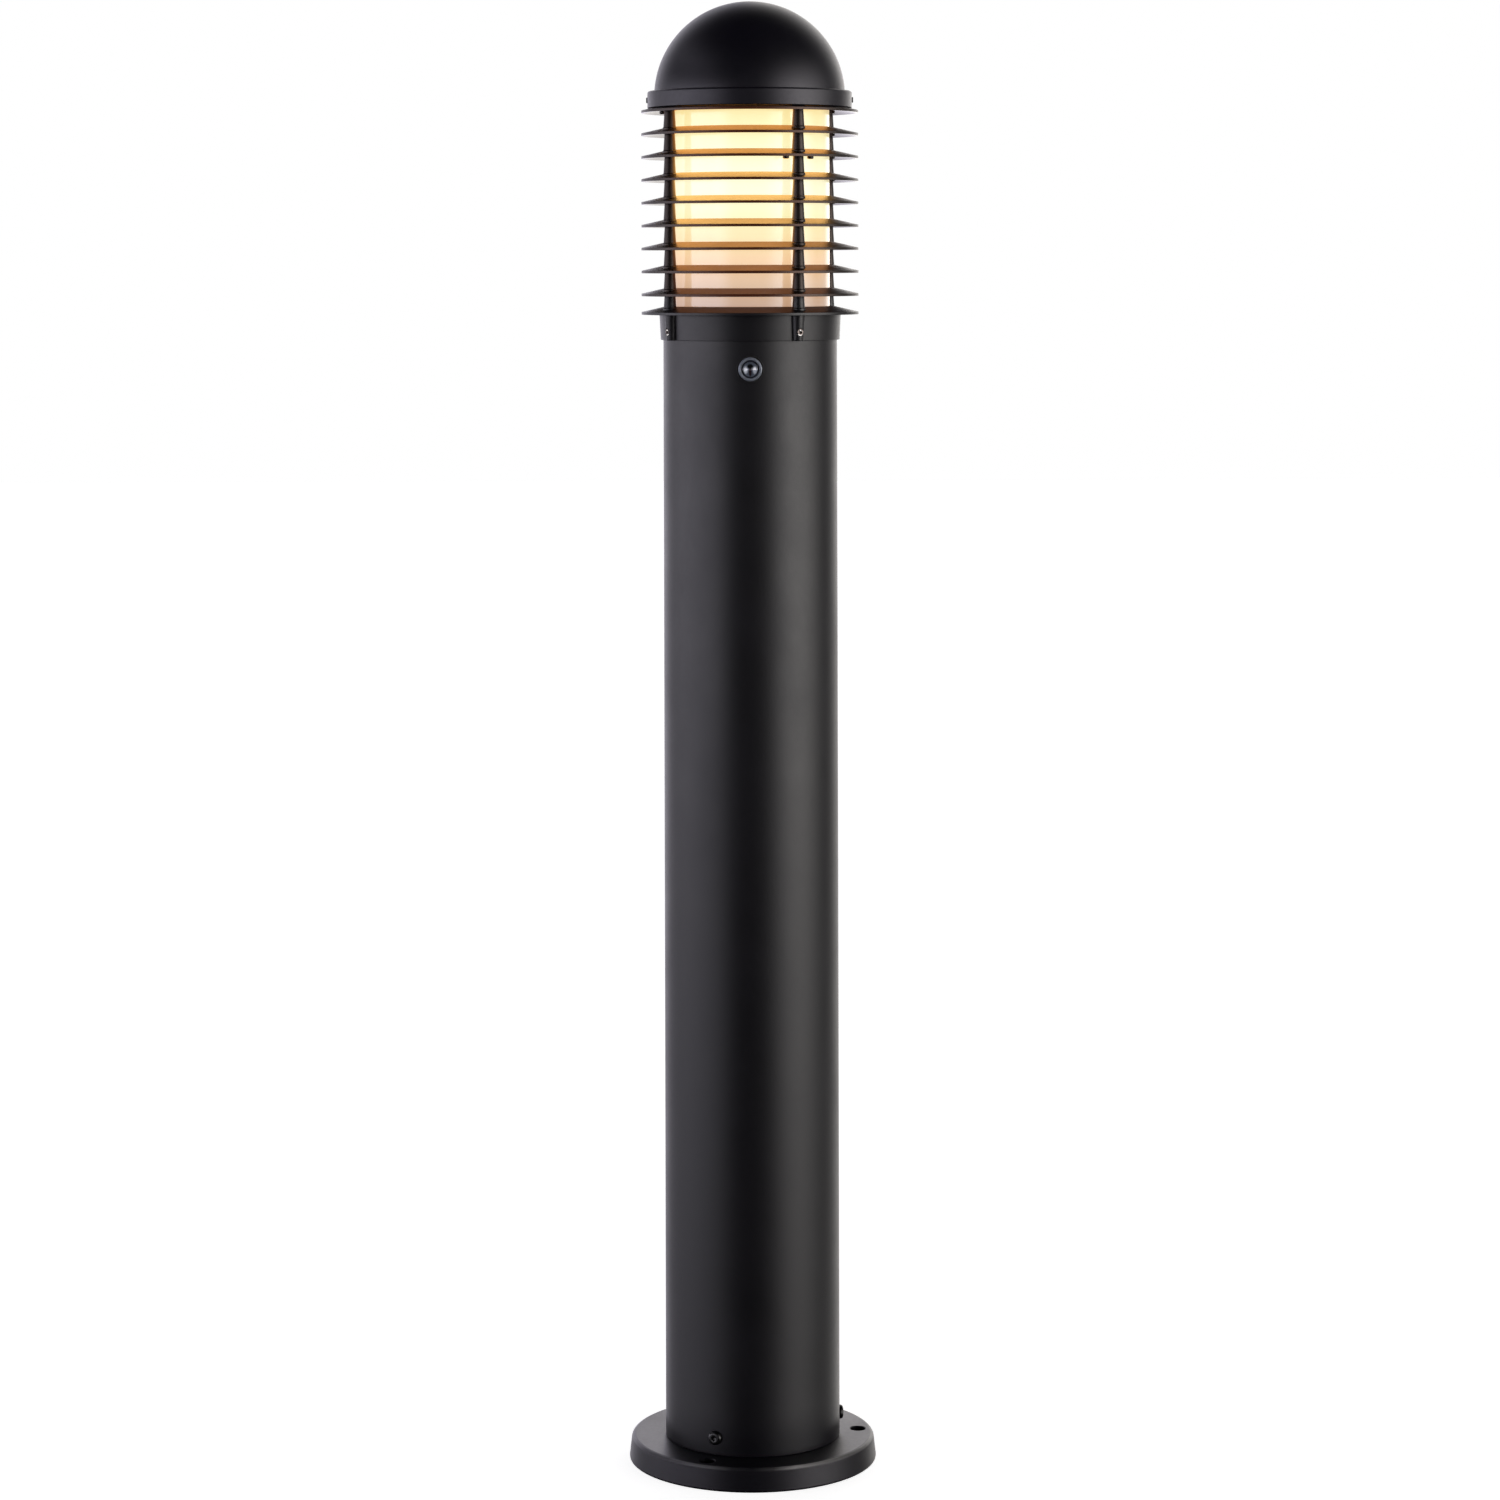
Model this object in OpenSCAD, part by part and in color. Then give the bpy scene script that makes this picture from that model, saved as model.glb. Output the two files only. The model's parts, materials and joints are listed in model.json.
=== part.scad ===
// Bollard light: round post on a bolted base, louvred head with a domed cap.
// Millimetres, +Z up, origin at the bottom centre of the base plate.
// Bearings: 0 is the front (-Y), and they grow towards +X.

/* [Base] */
// Diameter of the base plate at the ground
base_d = 170; // [160:1:180]
// Thickness of the base plate
base_t = 16; // [14:0.5:20]
// Draft of the base plate's side, per side
base_draft = 1.6; // [0.5:0.1:2.5]
// Pitch circle of the anchor holes
anchor_pcd = 146; // [142:1:150]
// Diameter of each anchor hole
anchor_d = 10.5; // [8:0.5:12]
// Diameter of the cable entry in the base
entry_d = 60; // [40:1:80]
// Bearing of the first anchor hole and foot screw
foot_bearing = -25; // [-60:1:60]
// Height of the foot screws above the ground
foot_screw_z = 28; // [26:0.5:34]

/* [Post] */
// Outside diameter of the post
post_d = 120; // [118:0.5:121]
// Wall of the post
post_wall = 2.5; // [2:0.1:3]
// Height of the underside of the head, where the post ends
post_top_z = 786.2; // [780:0.1:787]

/* [Photocell] */
// Height of the photocell
cell_z = 752; // [735:1:755]
// Diameter of the photocell's gasket
cell_gasket_d = 18.7; // [17:0.1:20]
// Diameter of the photocell's bezel
cell_bezel_d = 16.1; // [14:0.1:16.5]
// Diameter of the clear lens
cell_lens_d = 10.1; // [8:0.1:11]

/* [Head] */
// Outside diameter of the louvres
louvre_d = 150; // [146:1:156]
// Inside diameter of the louvres
louvre_bore_d = 115.2; // [114:0.1:116]
// Number of separate louvre rings
louvre_n = 9; // [9:1:9]
// Height of the top louvre's rim
louvre_top_z = 927.5; // [927:0.1:928]
// Distance from one louvre to the next
louvre_pitch = 15.8; // [15.7:0.01:15.85]
// Distance from the last louvre to the ring on the collar
last_pitch = 12.7; // [12.5:0.1:12.9]
// Rise of the louvre's top face for each millimetre inward
louvre_slope = 0.23; // [0.2:0.01:0.24]
// Thickness of the louvre's rim
louvre_lip = 1.8; // [1.5:0.1:1.8]
// Bearing of the first row of spacer posts
row_bearing = 31; // [20:1:45]
// Distance of the spacer posts from the axis
row_r = 63.8; // [63.4:0.1:64]
// Spacer post diameter at its foot
spacer_foot_d = 8.7; // [8:0.1:9]
// Spacer post diameter at its top
spacer_top_d = 7.1; // [6.6:0.1:7.6]
// Diameter of the tie rods
rod_d = 4; // [3:0.5:4]
// Outside diameter of the diffuser
diffuser_d = 110; // [108:0.5:111]
// Wall of the diffuser
diffuser_wall = 3; // [2:0.5:3]

/* [Dome] */
// Outside radius of the dome
dome_r = 66; // [65:0.1:66.2]
// Height of the dome's centre
dome_z = 938.7; // [938:0.1:939.5]
// Wall of the dome
dome_wall = 2.6; // [2.4:0.1:2.8]
// Outside diameter of the brim
brim_d = 141.4; // [141:0.1:143]
// Height of the top of the brim
brim_top_z = 942.5; // [942.3:0.1:943]
// Height of the brim's lower edge
brim_low_z = 930.8; // [930.8:0.1:931.4]

/* [Lamp] */
// Radius of the lamp's globe
globe_r = 30.2; // [28:0.1:31]
// Height of the globe's centre
globe_z = 881.5; // [878:0.5:884]

/* [Hidden] */
$fn = 96;
eps = 0.01;  // overlap of joined shapes
gap = 0.02;  // clearance between neighbouring pieces

// Bearings of repeated features
rows = [for (i = [0:3]) row_bearing + 90 * i];
feet = [for (i = [0:2]) foot_bearing + 120 * i];
diagonals = [45:90:315];
sides = [90, 270];

base_r = base_d / 2;
post_r = post_d / 2;
post_bore_r = post_r - post_wall;
louvre_r = louvre_d / 2;
louvre_bore_r = louvre_bore_d / 2;
diffuser_r = diffuser_d / 2;
brim_r = brim_d / 2;

// Levels of the head
function rim_z(i) = louvre_top_z - (i - 1) * louvre_pitch;
collar_rim_z = rim_z(louvre_n) - last_pitch;
collar_low_z = 771;
seat_z = 790;        // floor inside the collar
plate_t = 1.5;       // lamp plate
plate_top_z = seat_z + plate_t;
lower_gasket_t = 2;
upper_gasket_t = 3;
diffuser_low_z = seat_z + lower_gasket_t;
diffuser_top_z = 937.5;
ring_z = 934.3;      // underside of the cap ring
ring_t = 2;

black_paint = [0.10, 0.10, 0.11];
gasket_black = [0.05, 0.05, 0.05];
steel = [0.75, 0.75, 0.75];
rod_steel = [0.7, 0.7, 0.7];
brass = [0.8, 0.65, 0.3];

// ---- helpers ----

// Place children on a bearing, at a radius and height; local -Y points outward
module at(bearing, r, z) { rotate([0, 0, bearing]) translate([0, -r, z]) children(); }

// Place children on each of several bearings
module around(bearings, r, z) { for (a = bearings) at(a, r, z) children(); }

// Turn +Z to -Y: outward inside at(), towards the front elsewhere
module to_front() { rotate([90, 0, 0]) children(); }

module front_cylinder(h, r) { to_front() cylinder(h = h, r = r); }

module revolve(profile) { rotate_extrude() polygon(profile); }

module ring(outer_r, inner_r, h) {
  difference() {
    cylinder(r = outer_r, h = h);
    translate([0, 0, -1]) cylinder(r = inner_r, h = h + 2);
  }
}

// Points on an arc, for rounded profiles
function arc(x, y, r, from, to, steps) = [for (i = [0:steps])
  let (angle = from + (to - from) * i / steps) [x + r * cos(angle), y + r * sin(angle)]];

// Hexagonal prism, sized across flats
module hex(flats, h) { rotate([0, 0, 30]) cylinder(r = flats / sqrt(3), h = h, $fn = 6); }

// Pan-head screw: head above z = 0, shank below, cross-slot drive
module pan_screw(shank_r, shank_h, head_r, head_h) {
  slot_w = 0.7;
  slot_depth = 0.9;
  difference() {
    union() {
      revolve(concat([[0, 0], [head_r, 0], [head_r, head_h * 0.45]],
        arc(head_r - head_h * 0.5, head_h * 0.5, head_h * 0.5, 0, 90, 6), [[0, head_h]]));
      translate([0, 0, -shank_h]) cylinder(r = shank_r, h = shank_h + eps);
    }
    for (a = [0, 90]) rotate([0, 0, a])
      translate([-head_r * 0.6, -slot_w / 2, head_h - slot_depth]) cube([head_r * 1.2, slot_w, 2]);
  }
}

// The 3 mm pan-head screw used on the lamp holder and the gear
small_screw_r = 1.5;
small_hole_r = 1.6;
module small_screw(shank_h) { pan_screw(small_screw_r, shank_h, head_r = 2.75, head_h = 2); }

// Headless screw pointing outward, with a hex socket in its outer end
module grub_screw(profile, socket_start, socket_flats) {
  to_front() difference() {
    revolve(profile);
    translate([0, 0, socket_start]) hex(socket_flats, 4);
  }
}

// Round bar between two points
module bar(start, end, r) {
  span = end - start;
  length = norm(span);
  translate(start) rotate([0, acos(span[2] / length), atan2(span[1], span[0])])
    cylinder(r = r, h = length, $fn = 32);
}

// Insulated lead through a list of points, with a slightly fuller ball at each bend
module lead(points, r) {
  for (i = [0:len(points) - 2]) bar(points[i], points[i + 1], r);
  for (i = [1:len(points) - 2]) translate(points[i]) sphere(r = r * 1.15, $fn = 32);
}

// ---- foot and post ----

base_edge_r = 3;     // rounding of the plate's top edge
spigot_bore_r = 51;  // upstand that fits inside the post
spigot_top_z = 44;

module base_plate() {
  spigot_r = post_bore_r - 0.12;
  color(black_paint) difference() {
    union() {
      revolve(concat(
        [[entry_d / 2, 0], [base_r - 0.5, 0], [base_r, 0.5]],
        arc(base_r - base_draft - base_edge_r, base_t - base_edge_r, base_edge_r, 8, 90, 8),
        [[entry_d / 2, base_t]]));
      revolve([[spigot_bore_r, base_t - 2], [spigot_r, base_t - 2],
        [spigot_r, spigot_top_z - 1.5], [post_bore_r - 1.6, spigot_top_z],
        [spigot_bore_r, spigot_top_z]]);
    }
    around(feet, anchor_pcd / 2, -1) cylinder(d = anchor_d, h = base_t + 2);
    around(feet, 49, foot_screw_z) front_cylinder(12, 2.55);
  }
}

// Button-head screws with hex sockets, through the post into the spigot
module base_screws() {
  shank_h = 8.6;
  head = concat([[0, 0], [4.75, 0], [4.75, 0.7]], arc(2.55, 0.55, 2.2, 4, 90, 6), [[0, 2.75]]);
  color([0.06, 0.06, 0.065]) around(feet, post_r + gap, foot_screw_z) to_front() difference() {
    union() {
      revolve(head);
      translate([0, 0, -shank_h]) cylinder(r = 2.5, h = shank_h + eps);
    }
    translate([0, 0, 1.1]) hex(3, 4);
  }
}

module post_tube() {
  color(black_paint) difference() {
    translate([0, 0, base_t]) ring(post_r, post_bore_r, post_top_z - base_t);
    around(feet, 50, foot_screw_z) front_cylinder(14, 2.6);
    at(0, 50, cell_z) front_cylinder(14, cell_hole_r);
  }
}

// ---- photocell, facing the front ----

cell_hole_r = 6.1;           // hole in the post and the gasket
cell_face_r = post_r + 1.3;  // outer face of the gasket, from the post's axis
cell_back_r = 38;            // inner end of the body
cell_lead_x = [-3, 0, 3];

// The back of the gasket follows the post
module photocell_gasket() {
  color([0.02, 0.02, 0.02]) difference() {
    at(0, post_r - 2, cell_z) front_cylinder(cell_face_r - post_r + 2, cell_gasket_d / 2);
    translate([0, 0, cell_z - 20]) cylinder(r = post_r + gap, h = 40, $fn = 720);
    at(0, post_r - 4, cell_z) front_cylinder(8, cell_hole_r);
  }
}

module photocell_bezel() {
  bezel_r = cell_bezel_d / 2;
  color([0.55, 0.57, 0.6]) at(0, cell_face_r + gap, cell_z) to_front()
    revolve(concat([[5.3, 0], [bezel_r, 0], [bezel_r, 0.8]],
      arc(bezel_r - 1, 0.8, 1, 0, 90, 6), [[5.7, 1.8], [5.3, 1.4]]));
}

// Domed lens, hollow behind for the sensor
module photocell_lens() {
  lens_r = cell_lens_d / 2;
  edge_h = 1.4;
  dome_h = 2.2;
  color([0.75, 0.85, 0.95, 0.5]) at(0, cell_face_r + 2 * gap, cell_z) to_front()
    revolve(concat([[3.4, 0], [lens_r, 0], [lens_r, edge_h]],
      [for (i = [1:10]) [lens_r * cos(9 * i), edge_h + dome_h * sin(9 * i)]],
      [[0, 2.9], [3.0, 1.9]]));
}

module photocell_sensor() {
  color([0.35, 0.1, 0.06]) at(0, cell_face_r + 2 * gap, cell_z) front_cylinder(1.5, 2.9);
}

module photocell_body() {
  color([0.05, 0.05, 0.05]) at(0, cell_back_r, cell_z) difference() {
    front_cylinder(cell_face_r - cell_back_r, 5.9);
    for (x = cell_lead_x) translate([x, 1, 0]) front_cylinder(5, 1.1);
  }
}

module photocell_nut() {
  color([0.07, 0.07, 0.07]) at(0, 52.9, cell_z) difference() {
    to_front() hex(16, 3.2);
    translate([0, 1, 0]) front_cylinder(6, 5.95);
  }
}

// Three leads from the body, down and under the terminal block into its poles
module photocell_leads() {
  color([0.08, 0.08, 0.08]) for (k = [0:2]) {
    cell_x = cell_lead_x[k];
    end_x = pole_x[k + 1];
    lead([[cell_x, -42, cell_z], [cell_x, -32, cell_z], [end_x, -22, cell_z - 12],
      [end_x, -17, 712], [end_x, -8, 700], [end_x, 5, 699],
      [end_x, pole_y, 705], [end_x, pole_y, 718]], 0.9);
  }
}

// ---- head ----

pad_r = 4.8;      // pad under each spacer post
pad_z = 0.6;      // underside of the pad above the louvre's rim
pad_top_z = 4.8;
rim_edge = 0.2;   // chamfer on the louvre's rim
rod_hole_d = rod_d + 0.2;
rod_low_z = 781.2;
rod_top_z = 939.6;
set_screw_z = 777;
plate_screw_r = 46.5;  // radius of the circle of lamp plate screws
gasket_bore_r = 51;
tab_face_r = 66.2;     // outer flat of the cap ring's tabs
dome_screw_z = 936.5;

// Height of a louvre's sloping top face above its rim's underside, at radius r
function louvre_face(r) = louvre_lip + louvre_slope * (louvre_r - r);

// Outer edge of a louvre profile, from below to above
function rim_points(z) = [[louvre_r - 0.9, z], [louvre_r - rim_edge, z],
  [louvre_r, z + rim_edge], [louvre_r, z + louvre_lip - rim_edge],
  [louvre_r - rim_edge, z + louvre_face(louvre_r - rim_edge)]];

// Tapered spacer post on a wider pad, from low to top
module spacer(top, low = pad_z) {
  chamfer = 0.5;
  taper = (spacer_foot_d - spacer_top_d) / (louvre_pitch + pad_z - pad_top_z);
  translate([0, 0, low]) cylinder(r = pad_r, h = pad_top_z - low - chamfer + eps);
  translate([0, 0, pad_top_z - chamfer])
    cylinder(r1 = pad_r, r2 = spacer_foot_d / 2, h = chamfer);
  translate([0, 0, pad_top_z - eps])
    cylinder(d1 = spacer_foot_d, d2 = spacer_foot_d - taper * (top - pad_top_z),
      h = top - pad_top_z + eps);
}

// One louvre with its four spacer posts; louvre 1 is the top one
module louvre(i) {
  is_top = i == 1;
  spacer_top = is_top ? ring_z - louvre_top_z : louvre_pitch + pad_z;
  trim_r = 67.6;
  trim_outer_r = 72;
  color([0.11, 0.10, 0.10]) translate([0, 0, rim_z(i)]) difference() {
    union() {
      revolve(concat([[louvre_bore_r, louvre_face(louvre_bore_r)], [louvre_bore_r, 3.7]],
        rim_points(0)));
      around(rows, row_r, 0) spacer(spacer_top);
    }
    // the top louvre's spacers are faced off so that the cap's skirt passes over them
    if (is_top) revolve([[trim_r, louvre_face(trim_r) + 0.04],
      [trim_outer_r, louvre_face(trim_outer_r) + 0.04],
      [trim_outer_r, spacer_top + 2], [trim_r, spacer_top + 2]]);
    around(rows, row_r, -1) cylinder(d = rod_hole_d, h = spacer_top + 2);
  }
}

// Sleeve over the top of the post, with the lowest louvre ring and the lamp's seat
module collar() {
  sleeve_r = post_r + 0.15;
  top_z = collar_rim_z + louvre_face(louvre_bore_r - 2);
  color(black_paint) difference() {
    union() {
      revolve(concat([[0, collar_low_z], [61.7, collar_low_z], [62, collar_low_z + 0.3],
        [62.65, 788.6], [62.65, 790.6]],
        rim_points(collar_rim_z), [[louvre_bore_r - 2, top_z], [0, top_z]]));
      around(rows, 62.5, collar_low_z) cylinder(r1 = 3.6, r2 = 4.9, h = 20);
      around(rows, row_r, collar_rim_z) spacer(last_pitch + pad_z, 2.4);
    }
    // socket for the post, with a lead-in
    translate([0, 0, collar_low_z - 1])
      cylinder(r = sleeve_r, h = post_top_z + gap - collar_low_z + 1);
    translate([0, 0, collar_low_z - eps]) cylinder(r1 = sleeve_r + 0.5, r2 = sleeve_r - 0.1, h = 0.6);
    // opening below the seat, and the bore above it
    translate([0, 0, 780]) cylinder(r = 42, h = 30);
    translate([0, 0, seat_z]) cylinder(r = louvre_bore_r, h = 20);
    around(rows, row_r, rod_low_z - 0.2) cylinder(d = rod_hole_d, h = 30);
    around(rows, 58, set_screw_z) front_cylinder(12, 2.5);
    around(diagonals, plate_screw_r, 780) cylinder(r = 2.05, h = 20);
  }
}

module collar_set_screws() {
  color([0.78, 0.77, 0.75]) around(rows, post_r + 0.03, set_screw_z)
    grub_screw([[0, 0], [1.7, 0], [2.45, 0.8], [2.45, 5.9], [2.1, 6.25], [0, 6.25]],
      socket_start = 3.6, socket_flats = 2.5);
}

module tie_rods() {
  color(rod_steel) around(rows, row_r, rod_low_z) cylinder(r = rod_d / 2, h = rod_top_z - rod_low_z);
}

module tie_rod_nuts() {
  color(rod_steel) around(rows, row_r, ring_z + ring_t) difference() {
    hex(7, 3);
    translate([0, 0, -1]) cylinder(r = rod_d / 2 + 0.05, h = 6);
  }
}

// Flat ring on the top spacers, with a raised tab at each side
module cap_ring() {
  color([0.12, 0.12, 0.12]) difference() {
    union() {
      translate([0, 0, ring_z]) ring(67.5, louvre_bore_r + 0.1, ring_t);
      for (a = sides) intersection() {
        at(a, 63.2, ring_z) translate([-6, -3, 0]) cube([12, 6, 5.5]);
        translate([0, 0, ring_z]) cylinder(r = 68, h = 8);
      }
    }
    around(sides, tab_face_r, ring_z) translate([-6.5, -4, -1]) cube([13, 4, 8]);
    around(rows, row_r, ring_z - 1) cylinder(d = rod_hole_d, h = 6);
  }
}

module lower_gasket() {
  color(gasket_black) translate([0, 0, seat_z])
    ring(diffuser_r + 2, gasket_bore_r, lower_gasket_t);
}

module diffuser() {
  color([1, 0.93, 0.72, 0.8]) translate([0, 0, diffuser_low_z])
    ring(diffuser_r, diffuser_r - diffuser_wall, diffuser_top_z - diffuser_low_z);
}

module upper_gasket() {
  color(gasket_black) translate([0, 0, diffuser_top_z])
    ring(diffuser_r + 1.5, gasket_bore_r, upper_gasket_t);
}

// Hollow dome and brim, with a groove between them and a ring over the upper gasket
module dome_cap() {
  inner_r = dome_r - dome_wall;
  groove = 0.35;
  edge_r = 1.3;  // rounding of the brim's top edge
  skirt_r = 68;  // inside of the brim
  brim_under_z = brim_top_z - 2.5;
  lug_z = 932.6;
  outer_start = asin((brim_top_z + groove - dome_z) / dome_r);
  inner_end = asin((brim_under_z - dome_z) / inner_r);
  color(black_paint) difference() {
    union() {
      revolve(concat(
        [[skirt_r, brim_low_z + 0.6], [brim_r - 0.4, brim_low_z], [brim_r, brim_low_z + 0.4]],
        arc(brim_r - edge_r, brim_top_z - edge_r, edge_r, 0, 90, 6),
        [[dome_r + 0.45, brim_top_z], [dome_r - 0.1, brim_top_z - groove]],
        arc(0, dome_z, dome_r, outer_start, 90, 40),
        arc(0, dome_z, inner_r, 90, inner_end, 36),
        [[skirt_r, brim_under_z]]));
      intersection() {
        translate([0, 0, diffuser_top_z + upper_gasket_t]) ring(56, 52, 60);
        translate([0, 0, dome_z]) sphere(r = inner_r + 1);
      }
      around(sides, 66.5, lug_z) translate([-4, -2.5, 0])
        cube([8, 2.5, brim_under_z - lug_z + 0.5]);
    }
    around(sides, 60, dome_screw_z) front_cylinder(14, 2.05);
  }
}

module dome_screws() {
  color([0.1, 0.1, 0.1]) around(sides, tab_face_r + 2 * gap, dome_screw_z)
    grub_screw([[0, 0], [1.4, 0], [2, 0.6], [2, 4.9], [1.7, 5.3], [0, 5.3]],
      socket_start = 3.3, socket_flats = 2);
}

// ---- lamp and its holder ----

grommet_y = 7.5;
holder_screw_x = [-21.8, 21.8];
bracket_screw_x = [-12, 12];
bracket_screw_y = 27;
holder_floor_z = plate_top_z + 11.5;
lamp_body_z = 830;
led_board_z = 868;

module lamp_plate() {
  color([0.9, 0.9, 0.88]) translate([0, 0, seat_z]) difference() {
    cylinder(r = 50.5, h = plate_t);
    around(diagonals, plate_screw_r, -1) cylinder(r = 2.2, h = 4);
    translate([0, grommet_y, -1]) cylinder(r = 5, h = 4);
    for (x = bracket_screw_x) translate([x, bracket_screw_y, -1]) cylinder(r = small_hole_r, h = 4);
    for (x = holder_screw_x) translate([x, 0, -1]) cylinder(r = small_hole_r, h = 4);
  }
}

module plate_screws() {
  color(steel) around(diagonals, plate_screw_r, plate_top_z)
    pan_screw(shank_r = 2, shank_h = 4.8, head_r = 3.9, head_h = 2.6);
}

// Grommet with a flange on each side of the plate
module wire_grommet() {
  flange_t = 1.1;
  color([0.04, 0.04, 0.04]) translate([0, grommet_y, seat_z]) difference() {
    union() {
      for (z = [-flange_t, plate_t]) translate([0, 0, z]) cylinder(r = 6.3, h = flange_t);
      translate([0, 0, -eps]) cylinder(r = 4.95, h = plate_t + 2 * eps);
    }
    translate([0, 0, -3]) cylinder(r = 3.6, h = 8);
  }
}

// [radius, height above the lamp plate]
holder_profile = [
  [0, 4.5], [15, 4.5], [15, 0], [24.5, 0], [25, 0.5], [25, 3.5], [24.5, 4], [18.5, 4],
  [18.5, 30.5], [19.6, 31.5], [19.6, 36], [19, 36.5], [14.3, 36.5], [14.3, 11.5], [0, 11.5]];

module lamp_holder() {
  color([0.93, 0.93, 0.9]) translate([0, 0, plate_top_z]) difference() {
    revolve(holder_profile);
    for (x = holder_screw_x) translate([x, 0, -1]) cylinder(r = small_hole_r, h = 8);
    translate([0, 0, 3]) cylinder(r = 1.6, h = 10);
  }
}

module holder_shell() {
  color(brass) translate([0, 0, plate_top_z + 13]) ring(14.2, 13.45, 21.5);
}

module holder_contact() {
  color(brass) union() {
    translate([0, 0, plate_top_z + 6]) cylinder(r = 1.5, h = 5.6);
    translate([0, 0, holder_floor_z + gap]) cylinder(r1 = 5, r2 = 3.4, h = 1.1);
  }
}

module holder_screws() {
  color(steel) for (x = holder_screw_x) translate([x, 0, plate_top_z + 4]) small_screw(8);
}

// Screw cap: tip contact below, rippled side for the thread
module lamp_cap() {
  color([0.72, 0.72, 0.7]) revolve(concat(
    [[0, 804.3], [3.6, 804.3], [4.6, 805], [5, 806.5], [12.2, 808.4], [12.9, 809.4]],
    [for (i = [0:19]) [12.75 + 0.45 * sin(90 * i + 45), 809.9 + i * 0.91]],
    [[13.2, 828.4], [13.2, lamp_body_z], [0, lamp_body_z]]));
}

// Flared body between the cap and the LED board
module lamp_body() {
  color([0.92, 0.92, 0.9]) revolve(concat(
    [[0, lamp_body_z], [14.2, lamp_body_z], [14.6, lamp_body_z + 1]],
    [for (i = [0:10]) [15 + 12 * pow(sin(9 * i), 1.2), lamp_body_z + 3 + 3.5 * i]],
    [[0, led_board_z]]));
}

module lamp_led_board() {
  color([0.95, 0.95, 0.9]) translate([0, 0, led_board_z]) cylinder(r = 22, h = 1.6);
}

module lamp_globe() {
  inner_r = globe_r - 1.6;
  rise = led_board_z + gap - globe_z;
  color([1, 0.96, 0.85, 0.9]) revolve(concat(
    arc(0, globe_z, globe_r, asin(rise / globe_r), 90, 30),
    arc(0, globe_z, inner_r, 90, asin(rise / inner_r), 28)));
}

// ---- gear in the top of the post ----

bracket_y = 18;    // front face of the bracket
bracket_t = 1.5;
bracket_w = 40;
bracket_low_z = 655;
gear_back_y = bracket_y - gap;  // back of the parts fixed to the bracket
pole_x = [-13.5, -4.5, 4.5, 13.5];
pole_y = 12;
terminal_z = 722;  // middle of the terminal block
terminal_h = 20;
terminal_fixing_x = [-9, 9];
pole_screw_z = [terminal_z - 5, terminal_z + 5];
lead_start_z = 724;
earth_x = pole_x[0];
earth_z = 762;
tag_t = 0.8;
tag_barrel_y = 15.8;
clamp_x = [-12, 12];
clamp_z = 668;
clamp_h = 8;

// Hole from behind the bracket towards the front
module gear_hole(x, z, r, h = 20) { translate([x, 30, z]) front_cylinder(h, r); }

// Upright plate with a tab at the top, reaching back under the lamp plate
module gear_bracket() {
  tap_r = 1.55;
  color([0.7, 0.71, 0.72]) difference() {
    union() {
      translate([-bracket_w / 2, bracket_y, bracket_low_z])
        cube([bracket_w, bracket_t, seat_z - bracket_low_z]);
      translate([-bracket_w / 2, bracket_y, seat_z - bracket_t]) cube([bracket_w, 16, bracket_t]);
    }
    for (x = bracket_screw_x) translate([x, bracket_screw_y, 780]) cylinder(r = tap_r, h = 20);
    for (x = terminal_fixing_x) gear_hole(x, terminal_z, tap_r);
    for (x = clamp_x) gear_hole(x, clamp_z, tap_r);
    gear_hole(earth_x, earth_z, 2.1);
  }
}

module bracket_screws() {
  color(steel) for (x = bracket_screw_x) translate([x, bracket_screw_y, plate_top_z]) small_screw(6);
}

module terminal_block() {
  low_z = terminal_z - terminal_h / 2;
  color([0.88, 0.88, 0.85]) difference() {
    union() {
      translate([-19, 8, low_z]) cube([38, gear_back_y - 8, terminal_h]);
      for (x = pole_x) translate([x, 8.5, low_z]) cylinder(r = 3.6, h = terminal_h);
    }
    for (x = pole_x) {
      translate([x, pole_y, low_z - 1]) cylinder(r = 1.9, h = terminal_h + 2);
      for (z = pole_screw_z) translate([x, 10.5, z]) front_cylinder(10, 1.6);
    }
    for (x = terminal_fixing_x) {
      gear_hole(x, terminal_z, small_hole_r, h = 30);
      translate([x, 9.5, terminal_z]) front_cylinder(10, 2.9);
    }
  }
}

// Slotted screws, two to each pole
module terminal_screws() {
  color([0.8, 0.8, 0.8]) for (x = pole_x, z = pole_screw_z) translate([x, 9.9, z]) difference() {
    front_cylinder(3.4, 1.5);
    translate([-2, -5, -0.25]) cube([4, 2.4, 0.5]);
  }
}

module terminal_fixing_screws() {
  color(steel) for (x = terminal_fixing_x) translate([x, 9.5 - gap, terminal_z])
    to_front() small_screw(13);
}

module lamp_lead_live() {
  x = pole_x[3];
  color([0.35, 0.16, 0.06]) lead([[x, pole_y, lead_start_z], [x, pole_y, 740], [10, 11, 756],
    [3, 8.5, 774], [1.7, grommet_y, 781], [1.7, grommet_y, 795]], 1.3);
}

module lamp_lead_neutral() {
  x = pole_x[1];
  color([0.05, 0.15, 0.55]) lead([[x, pole_y, lead_start_z], [x, pole_y, 742],
    [-3.4, 10.4, 760], [-1.7, grommet_y, 779], [-1.7, grommet_y, 795]], 1.3);
}

module earth_lead() {
  color([0.2, 0.5, 0.1]) lead([[earth_x, pole_y, lead_start_z], [earth_x, pole_y, 738],
    [earth_x, tag_barrel_y, 747], [earth_x, tag_barrel_y, 754]], 1.3);
}

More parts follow.
